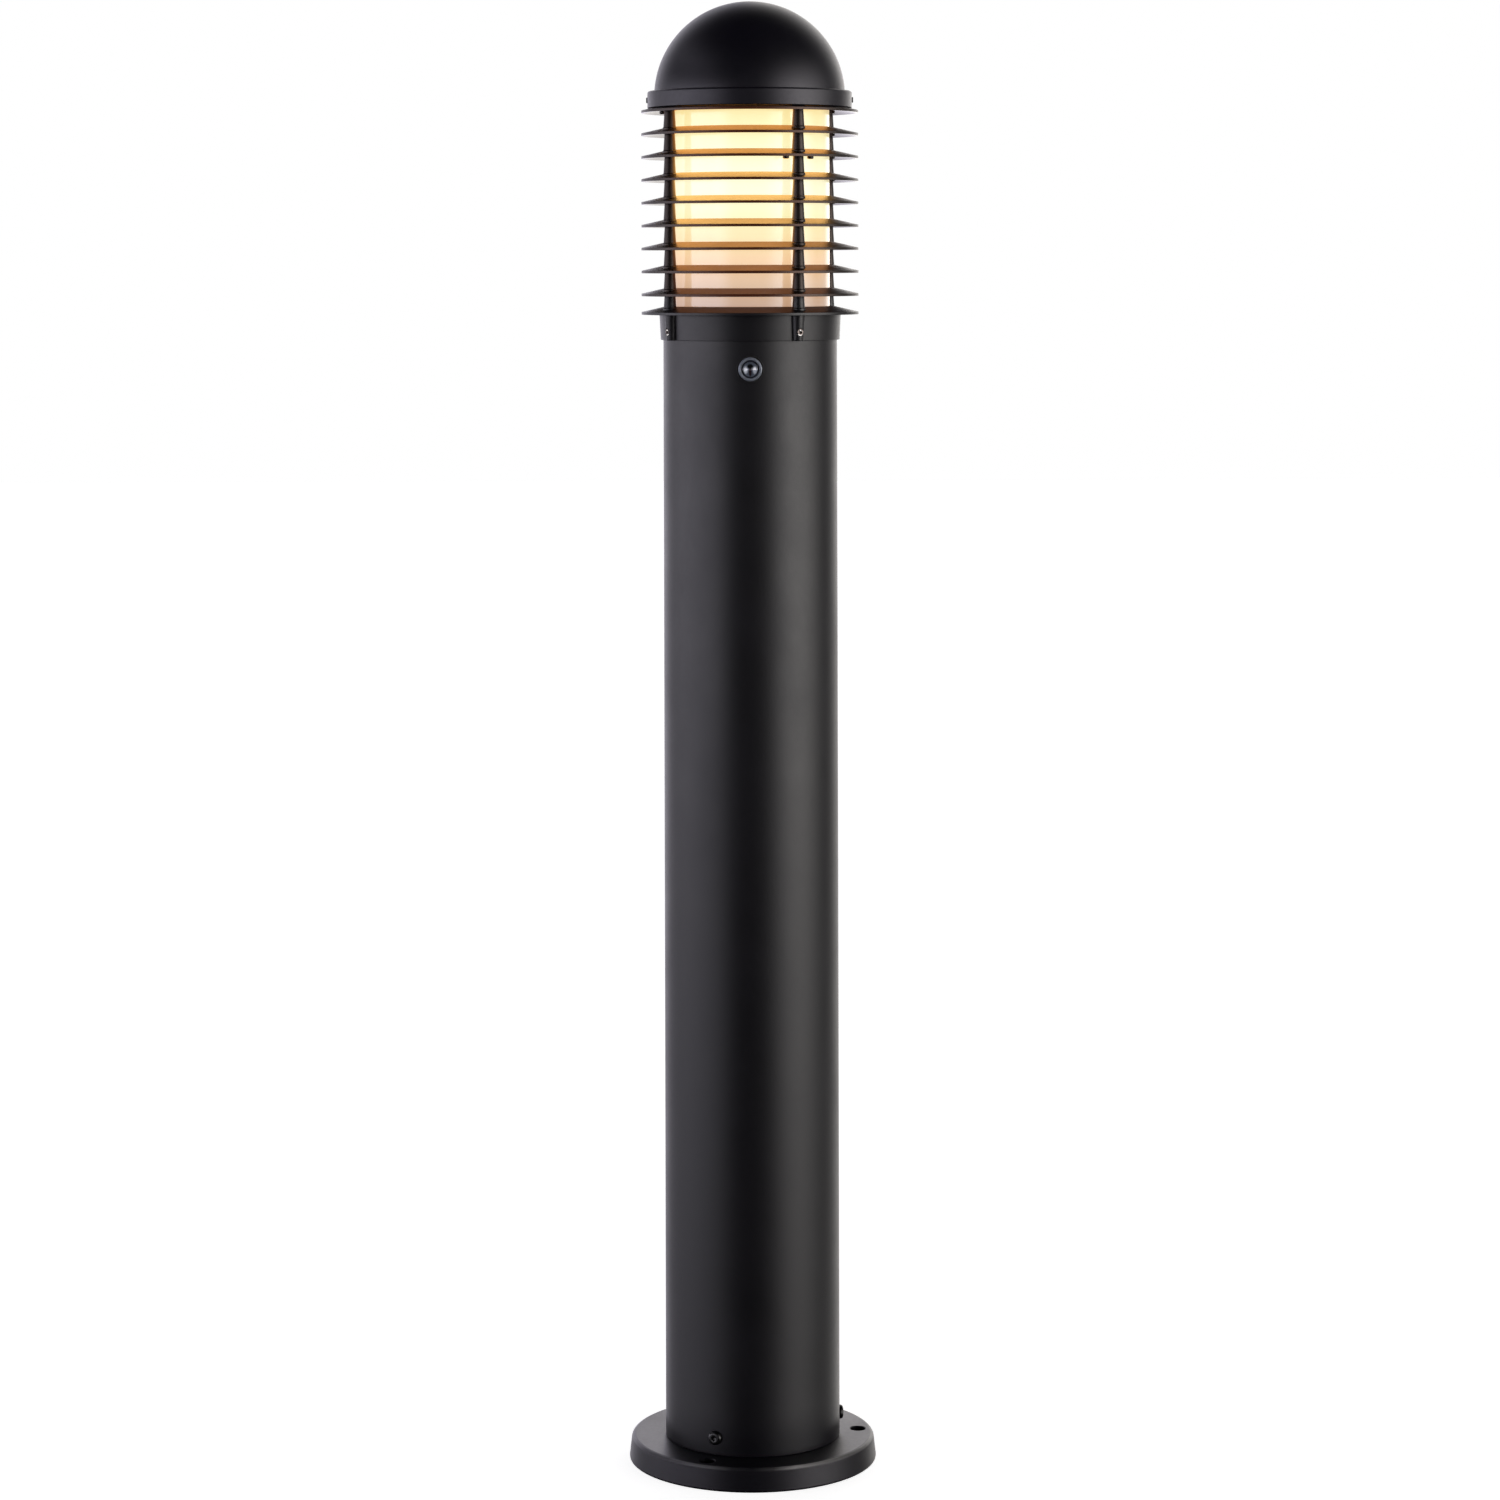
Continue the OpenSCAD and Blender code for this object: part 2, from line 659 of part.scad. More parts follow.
// Round eye, flat neck and a barrel for the lead
module earth_tag() {
  color([0.8, 0.8, 0.78]) difference() {
    union() {
      translate([earth_x, gear_back_y, earth_z]) front_cylinder(tag_t, 4.5);
      translate([earth_x - 2, gear_back_y - tag_t, 752]) cube([4, tag_t, 9]);
      translate([earth_x, tag_barrel_y, 751]) cylinder(r = 2, h = 5);
    }
    translate([earth_x, tag_barrel_y, 750]) cylinder(r = 1.4, h = 7);
    translate([earth_x, 20, earth_z]) front_cylinder(6, 2.1);
  }
}

module earth_screw() {
  color(brass) translate([earth_x, gear_back_y - tag_t - gap, earth_z]) to_front()
    pan_screw(shank_r = 2, shank_h = 6, head_r = 3.8, head_h = 2.6);
}

// Saddle with a flat foot at each side
module cable_clamp() {
  saddle_y = 13.4;
  bore_r = 4.6;
  low_z = clamp_z - clamp_h / 2;
  cut_z = low_z - 4;
  color([0.1, 0.1, 0.1]) difference() {
    union() {
      translate([0, saddle_y, low_z]) cylinder(r = 6.6, h = clamp_h);
      translate([-16, 16, low_z]) cube([32, gear_back_y - 16, clamp_h]);
    }
    translate([0, saddle_y, cut_z]) cylinder(r = bore_r, h = 16);
    translate([-bore_r, saddle_y, cut_z]) cube([2 * bore_r, 10, 16]);
    translate([-10, gear_back_y, cut_z]) cube([20, 10, 16]);
    for (x = clamp_x) gear_hole(x, clamp_z, small_hole_r);
  }
}

module clamp_screws() {
  color(steel) for (x = clamp_x) translate([x, 16 - gap, clamp_z]) to_front() small_screw(7);
}

base_plate();
base_screws();
post_tube();
photocell_gasket();
photocell_bezel();
photocell_lens();
photocell_sensor();
photocell_body();
photocell_nut();
photocell_leads();
collar();
collar_set_screws();
louvre(1);  // louvre_1
louvre(2);  // louvre_2
louvre(3);  // louvre_3
louvre(4);  // louvre_4
louvre(5);  // louvre_5
louvre(6);  // louvre_6
louvre(7);  // louvre_7
louvre(8);  // louvre_8
louvre(9);  // louvre_9
tie_rods();
tie_rod_nuts();
cap_ring();
lower_gasket();
diffuser();
upper_gasket();
dome_cap();
dome_screws();
lamp_plate();
plate_screws();
wire_grommet();
lamp_holder();
holder_shell();
holder_contact();
holder_screws();
lamp_cap();
lamp_body();
lamp_led_board();
lamp_globe();
gear_bracket();
bracket_screws();
terminal_block();
terminal_screws();
terminal_fixing_screws();
lamp_lead_live();
lamp_lead_neutral();
earth_lead();
earth_tag();
earth_screw();
cable_clamp();
clamp_screws();
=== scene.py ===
import json
import math

import bmesh
import bpy
from mathutils import Matrix, Vector


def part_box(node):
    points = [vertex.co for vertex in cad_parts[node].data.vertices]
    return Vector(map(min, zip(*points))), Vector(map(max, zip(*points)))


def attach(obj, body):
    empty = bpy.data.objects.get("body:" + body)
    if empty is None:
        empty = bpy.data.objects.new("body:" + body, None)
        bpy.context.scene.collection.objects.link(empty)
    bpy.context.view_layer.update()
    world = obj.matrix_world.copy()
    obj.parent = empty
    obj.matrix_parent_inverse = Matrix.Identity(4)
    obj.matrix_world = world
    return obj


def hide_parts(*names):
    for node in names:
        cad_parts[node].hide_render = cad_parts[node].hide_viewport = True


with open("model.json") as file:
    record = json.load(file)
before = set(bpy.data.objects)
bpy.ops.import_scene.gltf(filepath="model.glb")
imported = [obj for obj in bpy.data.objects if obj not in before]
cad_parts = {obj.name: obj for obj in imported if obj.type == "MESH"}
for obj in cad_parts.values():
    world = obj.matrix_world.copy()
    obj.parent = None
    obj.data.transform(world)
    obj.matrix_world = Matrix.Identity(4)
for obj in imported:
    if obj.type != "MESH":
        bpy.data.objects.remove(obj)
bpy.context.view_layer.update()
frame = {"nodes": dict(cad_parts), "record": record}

NODES = frame["nodes"]
BODY_OF = {n: b for b, ns in frame["record"]["behaviour"]["bodies"].items() for n in ns}
SLOT_OF = {s["node"]: s["material_slot"] for s in frame["record"]["subparts"]}
MM = 0.001
TAU = math.tau


def lo_mm(node):
    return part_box(node)[0] * 1000.0


def hi_mm(node):
    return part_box(node)[1] * 1000.0


# ---------------------------------------------------------------- sizes, from the CAD nodes
BASE_R = hi_mm("base_plate").x
BASE_TOP = lo_mm("post_tube").z
POST_R = 60.0
POST_RI = 57.5
POST_TOP = hi_mm("post_tube").z
LOUVRE_R = hi_mm("louvre_2").x
LOUVRE_RI = 57.6
RIM_Z = [lo_mm("louvre_%d" % i).z - (0.0) for i in range(1, 10)]
LIP = 1.8
SLOPE = 0.23
PITCH = 15.8
ROW_R = 63.8
ROWS = [31.0, 121.0, 211.0, 301.0]
FEET = [-25.0, 95.0, 215.0]
COLLAR_LOW = lo_mm("collar").z
COLLAR_RIM = RIM_Z[8] - 12.7
SEAT_Z = lo_mm("lower_gasket").z
CELL_Z = (lo_mm("photocell_bezel").z + hi_mm("photocell_bezel").z) / 2
SET_Z = (lo_mm("collar_set_screws").z + hi_mm("collar_set_screws").z) / 2
FOOT_Z = (lo_mm("base_screws").z + hi_mm("base_screws").z) / 2
DOME_SCREW_Z = (lo_mm("dome_screws").z + hi_mm("dome_screws").z) / 2
DIF_LOW, DIF_TOP = lo_mm("diffuser").z, hi_mm("diffuser").z
DOME_TOP = hi_mm("dome_cap").z
RING_Z = lo_mm("cap_ring").z


# ---------------------------------------------------------------- mesh helpers (work in mm, meshes end in m)
def fillet(pts, closed=True):
    """Round a polygon's corners. Each point is (r, z) or (r, z, radius) or (r, z, radius, steps)."""
    out = []
    n = len(pts)
    for i, p in enumerate(pts):
        rad = p[2] if len(p) > 2 else 0.0
        steps = p[3] if len(p) > 3 else 5
        c = Vector((p[0], p[1]))
        if rad <= 0 or (not closed and i in (0, n - 1)):
            out.append((c.x, c.y))
            continue
        a = Vector(pts[i - 1][:2]) - c
        b = Vector(pts[(i + 1) % n][:2]) - c
        la, lb = a.length, b.length
        a.normalize()
        b.normalize()
        ang = math.acos(max(-1.0, min(1.0, a.dot(b))))
        if ang < 0.02 or abs(math.pi - ang) < 0.02:
            out.append((c.x, c.y))
            continue
        d = min(rad / math.tan(ang / 2), la * 0.49, lb * 0.49)
        r = d * math.tan(ang / 2)
        mid = (a + b).normalized()
        centre = c + mid * (r / math.sin(ang / 2))
        s = c + a * d - centre
        e = c + b * d - centre
        a0 = math.atan2(s.y, s.x)
        da = (math.atan2(e.y, e.x) - a0 + math.pi) % TAU - math.pi
        for k in range(steps + 1):
            t = a0 + da * k / steps
            out.append((centre.x + r * math.cos(t), centre.y + r * math.sin(t)))
    return out


def arc(cx, cz, r, a0, a1, n):
    return [(cx + r * math.cos(math.radians(a0 + (a1 - a0) * i / n)),
             cz + r * math.sin(math.radians(a0 + (a1 - a0) * i / n))) for i in range(n + 1)]


def lathe_bm(prof, seg=192, closed=True):
    """Revolve (r, z) points, in mm, into a bmesh in metres. A point with r = 0 is a pole."""
    bm = bmesh.new()
    rings = []
    for r, z in prof:
        if r < 1e-5:
            rings.append([bm.verts.new((0, 0, z * MM))])
        else:
            rings.append([bm.verts.new((r * MM * math.cos(TAU * k / seg), r * MM * math.sin(TAU * k / seg), z * MM)) for k in range(seg)])
    n = len(rings)
    for i in range(n if closed else n - 1):
        a, b = rings[i], rings[(i + 1) % n]
        if len(a) == 1 and len(b) == 1:
            continue
        for k in range(seg):
            k2 = (k + 1) % seg
            if len(a) == 1:
                bm.faces.new((a[0], b[k2], b[k]))
            elif len(b) == 1:
                bm.faces.new((a[k], a[k2], b[0]))
            else:
                bm.faces.new((a[k], a[k2], b[k2], b[k]))
    bmesh.ops.recalc_face_normals(bm, faces=bm.faces)
    return bm


def obj_from_bm(name, bm):
    me = bpy.data.meshes.new(name)
    bm.to_mesh(me)
    bm.free()
    ob = bpy.data.objects.new(name, me)
    bpy.context.scene.collection.objects.link(ob)
    return ob


def lathe(name, prof, seg=192, closed=True):
    return obj_from_bm(name, lathe_bm(prof, seg, closed))


def radial(a, r, z):
    """Matrix in metres: local +Z points outward on bearing a (0 = front), local +Y is up, origin at radius r, height z (mm)."""
    t = math.radians(a)
    out = Vector((math.sin(t), -math.cos(t), 0))
    up = Vector((0, 0, 1))
    x = up.cross(out)
    m = Matrix((x, up, out)).transposed().to_4x4()
    m.translation = Vector((r * MM * out.x, r * MM * out.y, z * MM))
    return m


def bearing(a, r, z):
    """Matrix in metres: upright at bearing a, radius r, height z (mm)."""
    t = math.radians(a)
    return Matrix.Translation((r * MM * math.sin(t), -r * MM * math.cos(t), z * MM)) @ Matrix.Rotation(t, 4, "Z")


def bake(ob, m):
    ob.data.transform(m)
    return ob


def join(name, obs):
    bm = bmesh.new()
    for o in obs:
        bm.from_mesh(o.data)
        me = o.data
        bpy.data.objects.remove(o)
        bpy.data.meshes.remove(me)
    return obj_from_bm(name, bm)


def boolean(ob, others, op):
    """Boolean with each of the others in turn, applied to the mesh."""
    cutter = join("cutter", others) if len(others) > 1 else others[0]
    mod = ob.modifiers.new("bool", "BOOLEAN")
    mod.operation = op
    mod.object = cutter
    mod.solver = "MANIFOLD"
    bpy.context.view_layer.update()
    dg = bpy.context.evaluated_depsgraph_get()
    me = bpy.data.meshes.new_from_object(ob.evaluated_get(dg))
    ob.modifiers.clear()
    old = ob.data
    ob.data = me
    me.name = ob.name
    bpy.data.meshes.remove(old)
    cm = cutter.data
    bpy.data.objects.remove(cutter)
    bpy.data.meshes.remove(cm)
    return ob


def cyl(r, z0, z1, seg=48, r2=None):
    r2 = r if r2 is None else r2
    return lathe("cyl", [(0, z0), (r, z0), (r2, z1), (0, z1)], seg, closed=False)


def finish_mesh(ob, angle=32.0):
    me = ob.data
    bm = bmesh.new()
    bm.from_mesh(me)
    bmesh.ops.remove_doubles(bm, verts=bm.verts, dist=1e-7)
    bmesh.ops.dissolve_degenerate(bm, edges=bm.edges, dist=1e-7)
    bm.to_mesh(me)
    bm.free()
    for p in me.polygons:
        p.use_smooth = True
    me.set_sharp_from_angle(angle=math.radians(angle))
    wn = ob.modifiers.new("normals", "WEIGHTED_NORMAL")
    wn.mode = "FACE_AREA"
    wn.weight = 60
    wn.keep_sharp = True
    return ob


def done(ob, nodes, mats, angle=32.0, body=None):
    """Give a piece its material, smooth it, put it on its body and let it stand for its CAD nodes."""
    nodes = [nodes] if isinstance(nodes, str) else nodes
    mats = mats if isinstance(mats, (list, tuple)) else [mats]
    ob.data.materials.clear()
    for m in mats:
        ob.data.materials.append(m)
    if len(mats) == 1:
        for f in ob.data.polygons:
            f.material_index = 0
    finish_mesh(ob, angle)
    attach(ob, body or BODY_OF[nodes[0]])
    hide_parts(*nodes)
    return ob


def hex_r(af, t):
    """Distance from the centre to a hexagon's edge at angle t."""
    u = (t + math.pi / 6) % (math.pi / 3) - math.pi / 6
    return af / 2 / math.cos(u)


def socket_screw(prof, af, depth, seg=48):
    """A screw along +Z: prof runs from the axis at the tip out and up to the edge of the top face (mm); then a chamfered hex socket."""
    bm = bmesh.new()
    rings = []

    def ring(f, z):
        rings.append([bm.verts.new((f(TAU * k / seg) * MM * math.cos(TAU * k / seg), f(TAU * k / seg) * MM * math.sin(TAU * k / seg), z * MM)) for k in range(seg)])

    start = None
    for r, z in prof:
        if r < 1e-5:
            start = bm.verts.new((0, 0, z * MM))
        else:
            ring(lambda t, r=r: r, z)
    top = prof[-1][1]
    rc = af / math.sqrt(3) * 1.06
    ring(lambda t: rc, top)
    ring(lambda t: hex_r(af, t) * 1.0, top - 0.14)
    ring(lambda t: hex_r(af, t) * 1.0, top - depth)
    ring(lambda t: af / 2 * 0.72, top - depth - 0.05)
    end = bm.verts.new((0, 0, (top - depth - af * 0.22) * MM))
    n = len(rings)
    # the socket's walls and floor take the second material, painted shade
    for i, (a, b) in enumerate(zip(rings, rings[1:])):
        for k in range(seg):
            k2 = (k + 1) % seg
            f = bm.faces.new((a[k], a[k2], b[k2], b[k]))
            f.material_index = 1 if i >= n - 3 else 0
    for k in range(seg):
        k2 = (k + 1) % seg
        bm.faces.new((start, rings[0][k2], rings[0][k]))
        f = bm.faces.new((rings[-1][k], rings[-1][k2], end))
        f.material_index = 1
    bmesh.ops.recalc_face_normals(bm, faces=bm.faces)
    return obj_from_bm("screw", bm)


def smooth_path(pts, per=10):
    """Catmull-Rom through points in mm."""
    p = [Vector(q) for q in pts]
    p = [p[0] * 2 - p[1]] + p + [p[-1] * 2 - p[-2]]
    out = []
    for i in range(1, len(p) - 2):
        for k in range(per):
            t = k / per
            a, b, c, d = p[i - 1], p[i], p[i + 1], p[i + 2]
            out.append(0.5 * ((2 * b) + (c - a) * t + (2 * a - 5 * b + 4 * c - d) * t * t + (3 * b - a - 3 * c + d) * t ** 3))
    out.append(p[-2])
    return out


def tube(name, pts, r, seg=16, stripe=None):
    """A lead: a round tube swept along points in mm, closed at both ends. stripe = faces that take the second material."""
    path = smooth_path(pts)
    bm = bmesh.new()
    t0 = (path[1] - path[0]).normalized()
    n = t0.orthogonal().normalized()
    rings = []
    for i, p in enumerate(path):
        t = (path[min(i + 1, len(path) - 1)] - path[max(i - 1, 0)]).normalized()
        n = (n - t * n.dot(t)).normalized()
        b = t.cross(n)
        rings.append([bm.verts.new((p + (n * math.cos(TAU * k / seg) + b * math.sin(TAU * k / seg)) * r) * MM) for k in range(seg)])
    for a, b in zip(rings, rings[1:]):
        for k in range(seg):
            f = bm.faces.new((a[k], a[(k + 1) % seg], b[(k + 1) % seg], b[k]))
            if stripe and k in stripe:
                f.material_index = 1
    bm.faces.new(list(reversed(rings[0])))
    bm.faces.new(rings[-1])
    bmesh.ops.recalc_face_normals(bm, faces=bm.faces)
    return obj_from_bm(name, bm)


# ---------------------------------------------------------------- materials
def new_mat(name):
    m = bpy.data.materials.new(name)
    m.use_nodes = True
    nt = m.node_tree
    return m, nt, nt.nodes["Principled BSDF"]


def node(nt, kind, **kw):
    n = nt.nodes.new(kind)
    for k, v in kw.items():
        if k in n.inputs:
            n.inputs[k].default_value = v
        else:
            setattr(n, k, v)
    return n


def coords(nt):
    return node(nt, "ShaderNodeTexCoord").outputs["Object"]


def noise(nt, scale, detail=3.0, rough=0.55, vec=None, dist=0.0):
    n = node(nt, "ShaderNodeTexNoise", Scale=scale, Detail=detail, Roughness=rough, Distortion=dist)
    nt.links.new(vec if vec is not None else coords(nt), n.inputs["Vector"])
    return n.outputs["Fac"]


def ramp(nt, fac, stops):
    n = node(nt, "ShaderNodeValToRGB")
    cr = n.color_ramp
    while len(cr.elements) < len(stops):
        cr.elements.new(0.5)
    for e, (p, c) in zip(cr.elements, stops):
        e.position = p
        e.color = (*c, 1.0) if len(c) == 3 else c
    nt.links.new(fac, n.inputs["Fac"])
    return n.outputs["Color"]


def map_range(nt, val, a, b, c, d, smooth=False):
    n = node(nt, "ShaderNodeMapRange")
    if smooth:
        n.interpolation_type = "SMOOTHSTEP"
    n.inputs["From Min"].default_value = a
    n.inputs["From Max"].default_value = b
    n.inputs["To Min"].default_value = c
    n.inputs["To Max"].default_value = d
    nt.links.new(val, n.inputs["Value"])
    return n.outputs["Result"]


def math_n(nt, op, a, b=None, clamp=False):
    n = nt.nodes.new("ShaderNodeMath")
    n.operation = op
    n.use_clamp = clamp
    for i, v in enumerate((a, b)):
        if v is None:
            continue
        if isinstance(v, (int, float)):
            n.inputs[i].default_value = v
        else:
            nt.links.new(v, n.inputs[i])
    return n.outputs[0]


def mix_rgb(nt, fac, a, b, mode="MIX"):
    n = nt.nodes.new("ShaderNodeMix")
    n.data_type = "RGBA"
    n.blend_type = mode
    for i, v in ((0, fac), (6, a), (7, b)):
        if isinstance(v, (int, float)):
            n.inputs[i].default_value = v
        elif isinstance(v, (tuple, list)):
            n.inputs[i].default_value = (*v, 1.0) if len(v) == 3 else v
        else:
            nt.links.new(v, n.inputs[i])
    return n.outputs[2]


def bump(nt, height, strength, distance, normal=None):
    n = node(nt, "ShaderNodeBump", Strength=strength, Distance=distance)
    nt.links.new(height, n.inputs["Height"])
    if normal is not None:
        nt.links.new(normal, n.inputs["Normal"])
    return n.outputs["Normal"]


def srgb(r, g, b):
    f = lambda v: (v / 255 / 12.92) if v / 255 <= 0.04045 else ((v / 255 + 0.055) / 1.055) ** 2.4
    return (f(r), f(g), f(b))


def powder_coat(name, tone=(0.0044, 0.0039, 0.0066), rough=0.395, grain=1.0, tint=None, flat=None, foot=False, under=None):
    """Satin black powder coat: fine leather-like grain, slow variation of tone and gloss, fine lighter specks of dust
    all over.
    """
    m, nt, p = new_mat(name)
    L = nt.links.new
    slow = noise(nt, 22, 4, 0.6)
    fine = noise(nt, 420, 3, 0.6)
    c = mix_rgb(nt, map_range(nt, slow, 0.3, 0.7, 0, 1), tuple(v * 0.82 for v in tone), tuple(v * 1.25 for v in tone))
    c = mix_rgb(nt, map_range(nt, fine, 0.62, 0.8, 0, 0.35), c, tuple(v * 2.1 for v in tone))
    L(c, p.inputs["Base Color"])
    r = math_n(nt, "ADD", map_range(nt, slow, 0.3, 0.7, rough - 0.025, rough + 0.03), map_range(nt, fine, 0.3, 0.7, -0.02, 0.02))
    L(r, p.inputs["Roughness"])
    p.inputs["IOR"].default_value = 1.5
    if tint:
        p.inputs["Specular Tint"].default_value = (*tint, 1)
    if flat:
        # painted shade: the turned side wall is given less reflection than the level face, which darkens it against the
        # top
        g = nt.nodes.new("ShaderNodeSeparateXYZ")
        L(nt.nodes.new("ShaderNodeNewGeometry").outputs["Normal"], g.inputs[0])
        L(map_range(nt, g.outputs["Z"], 0.1, 0.9, flat[0], flat[1], True), p.inputs["Specular IOR Level"])
    if foot:
        # painted shade: the last few centimetres above the base reflect less, standing in for the shade near the base
        # plate
        g = nt.nodes.new("ShaderNodeSeparateXYZ")
        L(coords(nt), g.inputs[0])
        L(map_range(nt, g.outputs["Z"], 0.017, 0.05, 0.26, 0.5, True), p.inputs["Specular IOR Level"])
    if under:
        # the underside is glossier; its raised reflection level is a painted sheen that lightens it
        g = nt.nodes.new("ShaderNodeSeparateXYZ")
        L(nt.nodes.new("ShaderNodeNewGeometry").outputs["Normal"], g.inputs[0])
        down = map_range(nt, g.outputs["Z"], -0.45, -0.75, 0, 1, True)
        L(math_n(nt, "ADD", r, math_n(nt, "MULTIPLY", down, under - rough)), p.inputs["Roughness"])
        L(math_n(nt, "ADD", math_n(nt, "MULTIPLY", down, 0.45), 0.5), p.inputs["Specular IOR Level"])
    b1 = bump(nt, noise(nt, 780, 2, 0.5), 0.16 * grain, 0.00012)
    b2 = bump(nt, noise(nt, 2600, 2, 0.5), 0.12 * grain, 0.00004, b1)
    L(b2, p.inputs["Normal"])
    return m


def metal(name, color, rough=0.3, brushed=(1, 1, 30), scale=120, spangle=False, metallic=1.0):
    m, nt, p = new_mat(name)
    L = nt.links.new
    mp = node(nt, "ShaderNodeMapping")
    mp.inputs["Scale"].default_value = brushed
    L(coords(nt), mp.inputs["Vector"])
    n1 = noise(nt, scale, 4, 0.65, mp.outputs["Vector"])
    if spangle:
        v = node(nt, "ShaderNodeTexVoronoi", Scale=170.0)
        L(coords(nt), v.inputs["Vector"])
        tone = map_range(nt, v.outputs["Color"], 0, 1, 0.72, 1.08)
    else:
        tone = map_range(nt, n1, 0.3, 0.7, 0.85, 1.08)
    L(mix_rgb(nt, 1.0, color, tone, "MULTIPLY"), p.inputs["Base Color"])
    p.inputs["Metallic"].default_value = metallic
    L(map_range(nt, n1, 0.3, 0.7, rough * 0.8, rough * 1.25), p.inputs["Roughness"])
    L(bump(nt, n1, 0.12, 0.00005), p.inputs["Normal"])
    return m


def plastic(name, color, rough=0.4, grain=300, strength=0.08, vary=0.12, coat=0.0, ior=1.5):
    m, nt, p = new_mat(name)
    L = nt.links.new
    slow = noise(nt, 60, 3, 0.6)
    L(mix_rgb(nt, map_range(nt, slow, 0.3, 0.7, 0, 1), tuple(v * (1 - vary) for v in color), tuple(min(1, v * (1 + vary)) for v in color)), p.inputs["Base Color"])
    fine = noise(nt, grain, 3, 0.55)
    L(map_range(nt, fine, 0.3, 0.7, rough * 0.88, rough * 1.12), p.inputs["Roughness"])
    p.inputs["IOR"].default_value = ior
    p.inputs["Coat Weight"].default_value = coat
    p.inputs["Coat Roughness"].default_value = 0.08
    L(bump(nt, fine, strength, 0.0001), p.inputs["Normal"])
    return m


M = {}
M["powder_black"] = powder_coat("powder_black")
M["powder_post"] = powder_coat("powder_post", foot=True)
# painted lamplight: the louvres' copy of the powder coat has a warm tone and a warm reflection tint, standing in for
# the lamp's warm light on them
M["powder_louvre"] = powder_coat("powder_louvre", tone=(0.0052, 0.0030, 0.0024), tint=(1.0, 0.84, 0.76), under=0.17)
# painted light: the dome's copy is lighter and bluer than the post's and the base's copy darker, both with a bluish
# reflection tint, standing in for the cool light on them
M["powder_dome"] = powder_coat("powder_dome", tone=(0.0052, 0.0046, 0.0088), tint=(0.95, 0.93, 1.0))
M["powder_base"] = powder_coat("powder_base", tone=(0.0034, 0.0031, 0.0056), tint=(0.95, 0.93, 1.0), flat=(0.27, 0.56))
M["black_screw"] = powder_coat("black_screw", tone=(0.0035, 0.0034, 0.0038), rough=0.32, grain=0.4)


def painted_edge_highlight(m):
    """Painted highlight on the rounded edge of the base: a little lighter, most on the right and least in front,
    standing in for the side lights reflected in the fillet.
    """
    nt = m.node_tree
    p = [n for n in nt.nodes if n.type == "BSDF_PRINCIPLED"][0]
    L = nt.links.new
    old = p.inputs["Base Color"].links[0].from_socket
    g = nt.nodes.new("ShaderNodeSeparateXYZ")
    L(nt.nodes.new("ShaderNodeNewGeometry").outputs["Normal"], g.inputs[0])
    w = math_n(nt, "MULTIPLY", map_range(nt, g.outputs["Z"], 0.985, 0.93, 0, 1, True), map_range(nt, g.outputs["Z"], 0.25, 0.6, 0, 1, True))
    q = nt.nodes.new("ShaderNodeSeparateXYZ")
    L(coords(nt), q.inputs[0])
    w = math_n(nt, "MULTIPLY", w, map_range(nt, q.outputs["Z"], 0.008, 0.010, 0, 1, True))
    w = math_n(nt, "MULTIPLY", w, map_range(nt, q.outputs["Y"], 0.01, -0.02, 0, 1, True))
    rr = math_n(nt, "SQRT", math_n(nt, "ADD", math_n(nt, "MULTIPLY", q.outputs["X"], q.outputs["X"]), math_n(nt, "MULTIPLY", q.outputs["Y"], q.outputs["Y"])))
    w = math_n(nt, "MULTIPLY", w, map_range(nt, rr, 0.0795, 0.0801, 0, 1, True))
    # painted highlight across the edge: brightest on the right, lighter on the left, dark in front
    lit = ramp(nt, map_range(nt, q.outputs["X"], -0.08, 0.08, 0, 1, True), [
        (0.0, (0.08, 0.08, 0.084)), (0.154, (0.19, 0.19, 0.20)), (0.241, (0.16, 0.16, 0.168)), (0.37, (0.030, 0.030, 0.033)),
        (0.5, (0.012, 0.012, 0.015)), (0.63, (0.066, 0.065, 0.066)), (0.759, (0.40, 0.39, 0.39)), (0.846, (0.30, 0.295, 0.295)), (1.0, (0.10, 0.10, 0.10))])
    L(mix_rgb(nt, w, old, lit), p.inputs["Base Color"])
    return m


def painted_glint(m):
    """Painted glint: the lower edge of a screw's chamfer glows, standing in for a bright reflection there."""
    nt = m.node_tree
    p = [n for n in nt.nodes if n.type == "BSDF_PRINCIPLED"][0]
    g = nt.nodes.new("ShaderNodeSeparateXYZ")
    nt.links.new(nt.nodes.new("ShaderNodeNewGeometry").outputs["Normal"], g.inputs[0])
    # painted glint: near-white emission on faces that point down
    p.inputs["Emission Color"].default_value = (1.0, 0.97, 0.94, 1)
    nt.links.new(map_range(nt, g.outputs["Z"], -0.45, -0.62, 0, 1.2, True), p.inputs["Emission Strength"])
    return m


def painted_lip_lamplight(m):
    """Painted lamplight: the louvre rims glow a faint warm red, standing in for lamplight caught by them."""
    nt = m.node_tree
    p = [n for n in nt.nodes if n.type == "BSDF_PRINCIPLED"][0]
    g = nt.nodes.new("ShaderNodeSeparateXYZ")
    nt.links.new(nt.nodes.new("ShaderNodeNewGeometry").outputs["Normal"], g.inputs[0])
    w = map_range(nt, math_n(nt, "ABSOLUTE", g.outputs["Z"]), 0.1, 0.3, 1, 0, True)
    q = nt.nodes.new("ShaderNodeSeparateXYZ")
    nt.links.new(coords(nt), q.inputs[0])
    rr = math_n(nt, "SQRT", math_n(nt, "ADD", math_n(nt, "MULTIPLY", q.outputs["X"], q.outputs["X"]), math_n(nt, "MULTIPLY", q.outputs["Y"], q.outputs["Y"])))
    w = math_n(nt, "MULTIPLY", w, map_range(nt, rr, 0.0730, 0.0738, 0, 1, True))
    w = math_n(nt, "MULTIPLY", w, map_range(nt, node(nt, "ShaderNodeLayerWeight", Blend=0.5).outputs["Facing"], 0.08, 0.42, 1, 0, True))
    # painted lamplight: faint warm-red emission on the rims
    p.inputs["Emission Color"].default_value = (0.030, 0.0050, 0.0, 1)
    nt.links.new(w, p.inputs["Emission Strength"])
    return m


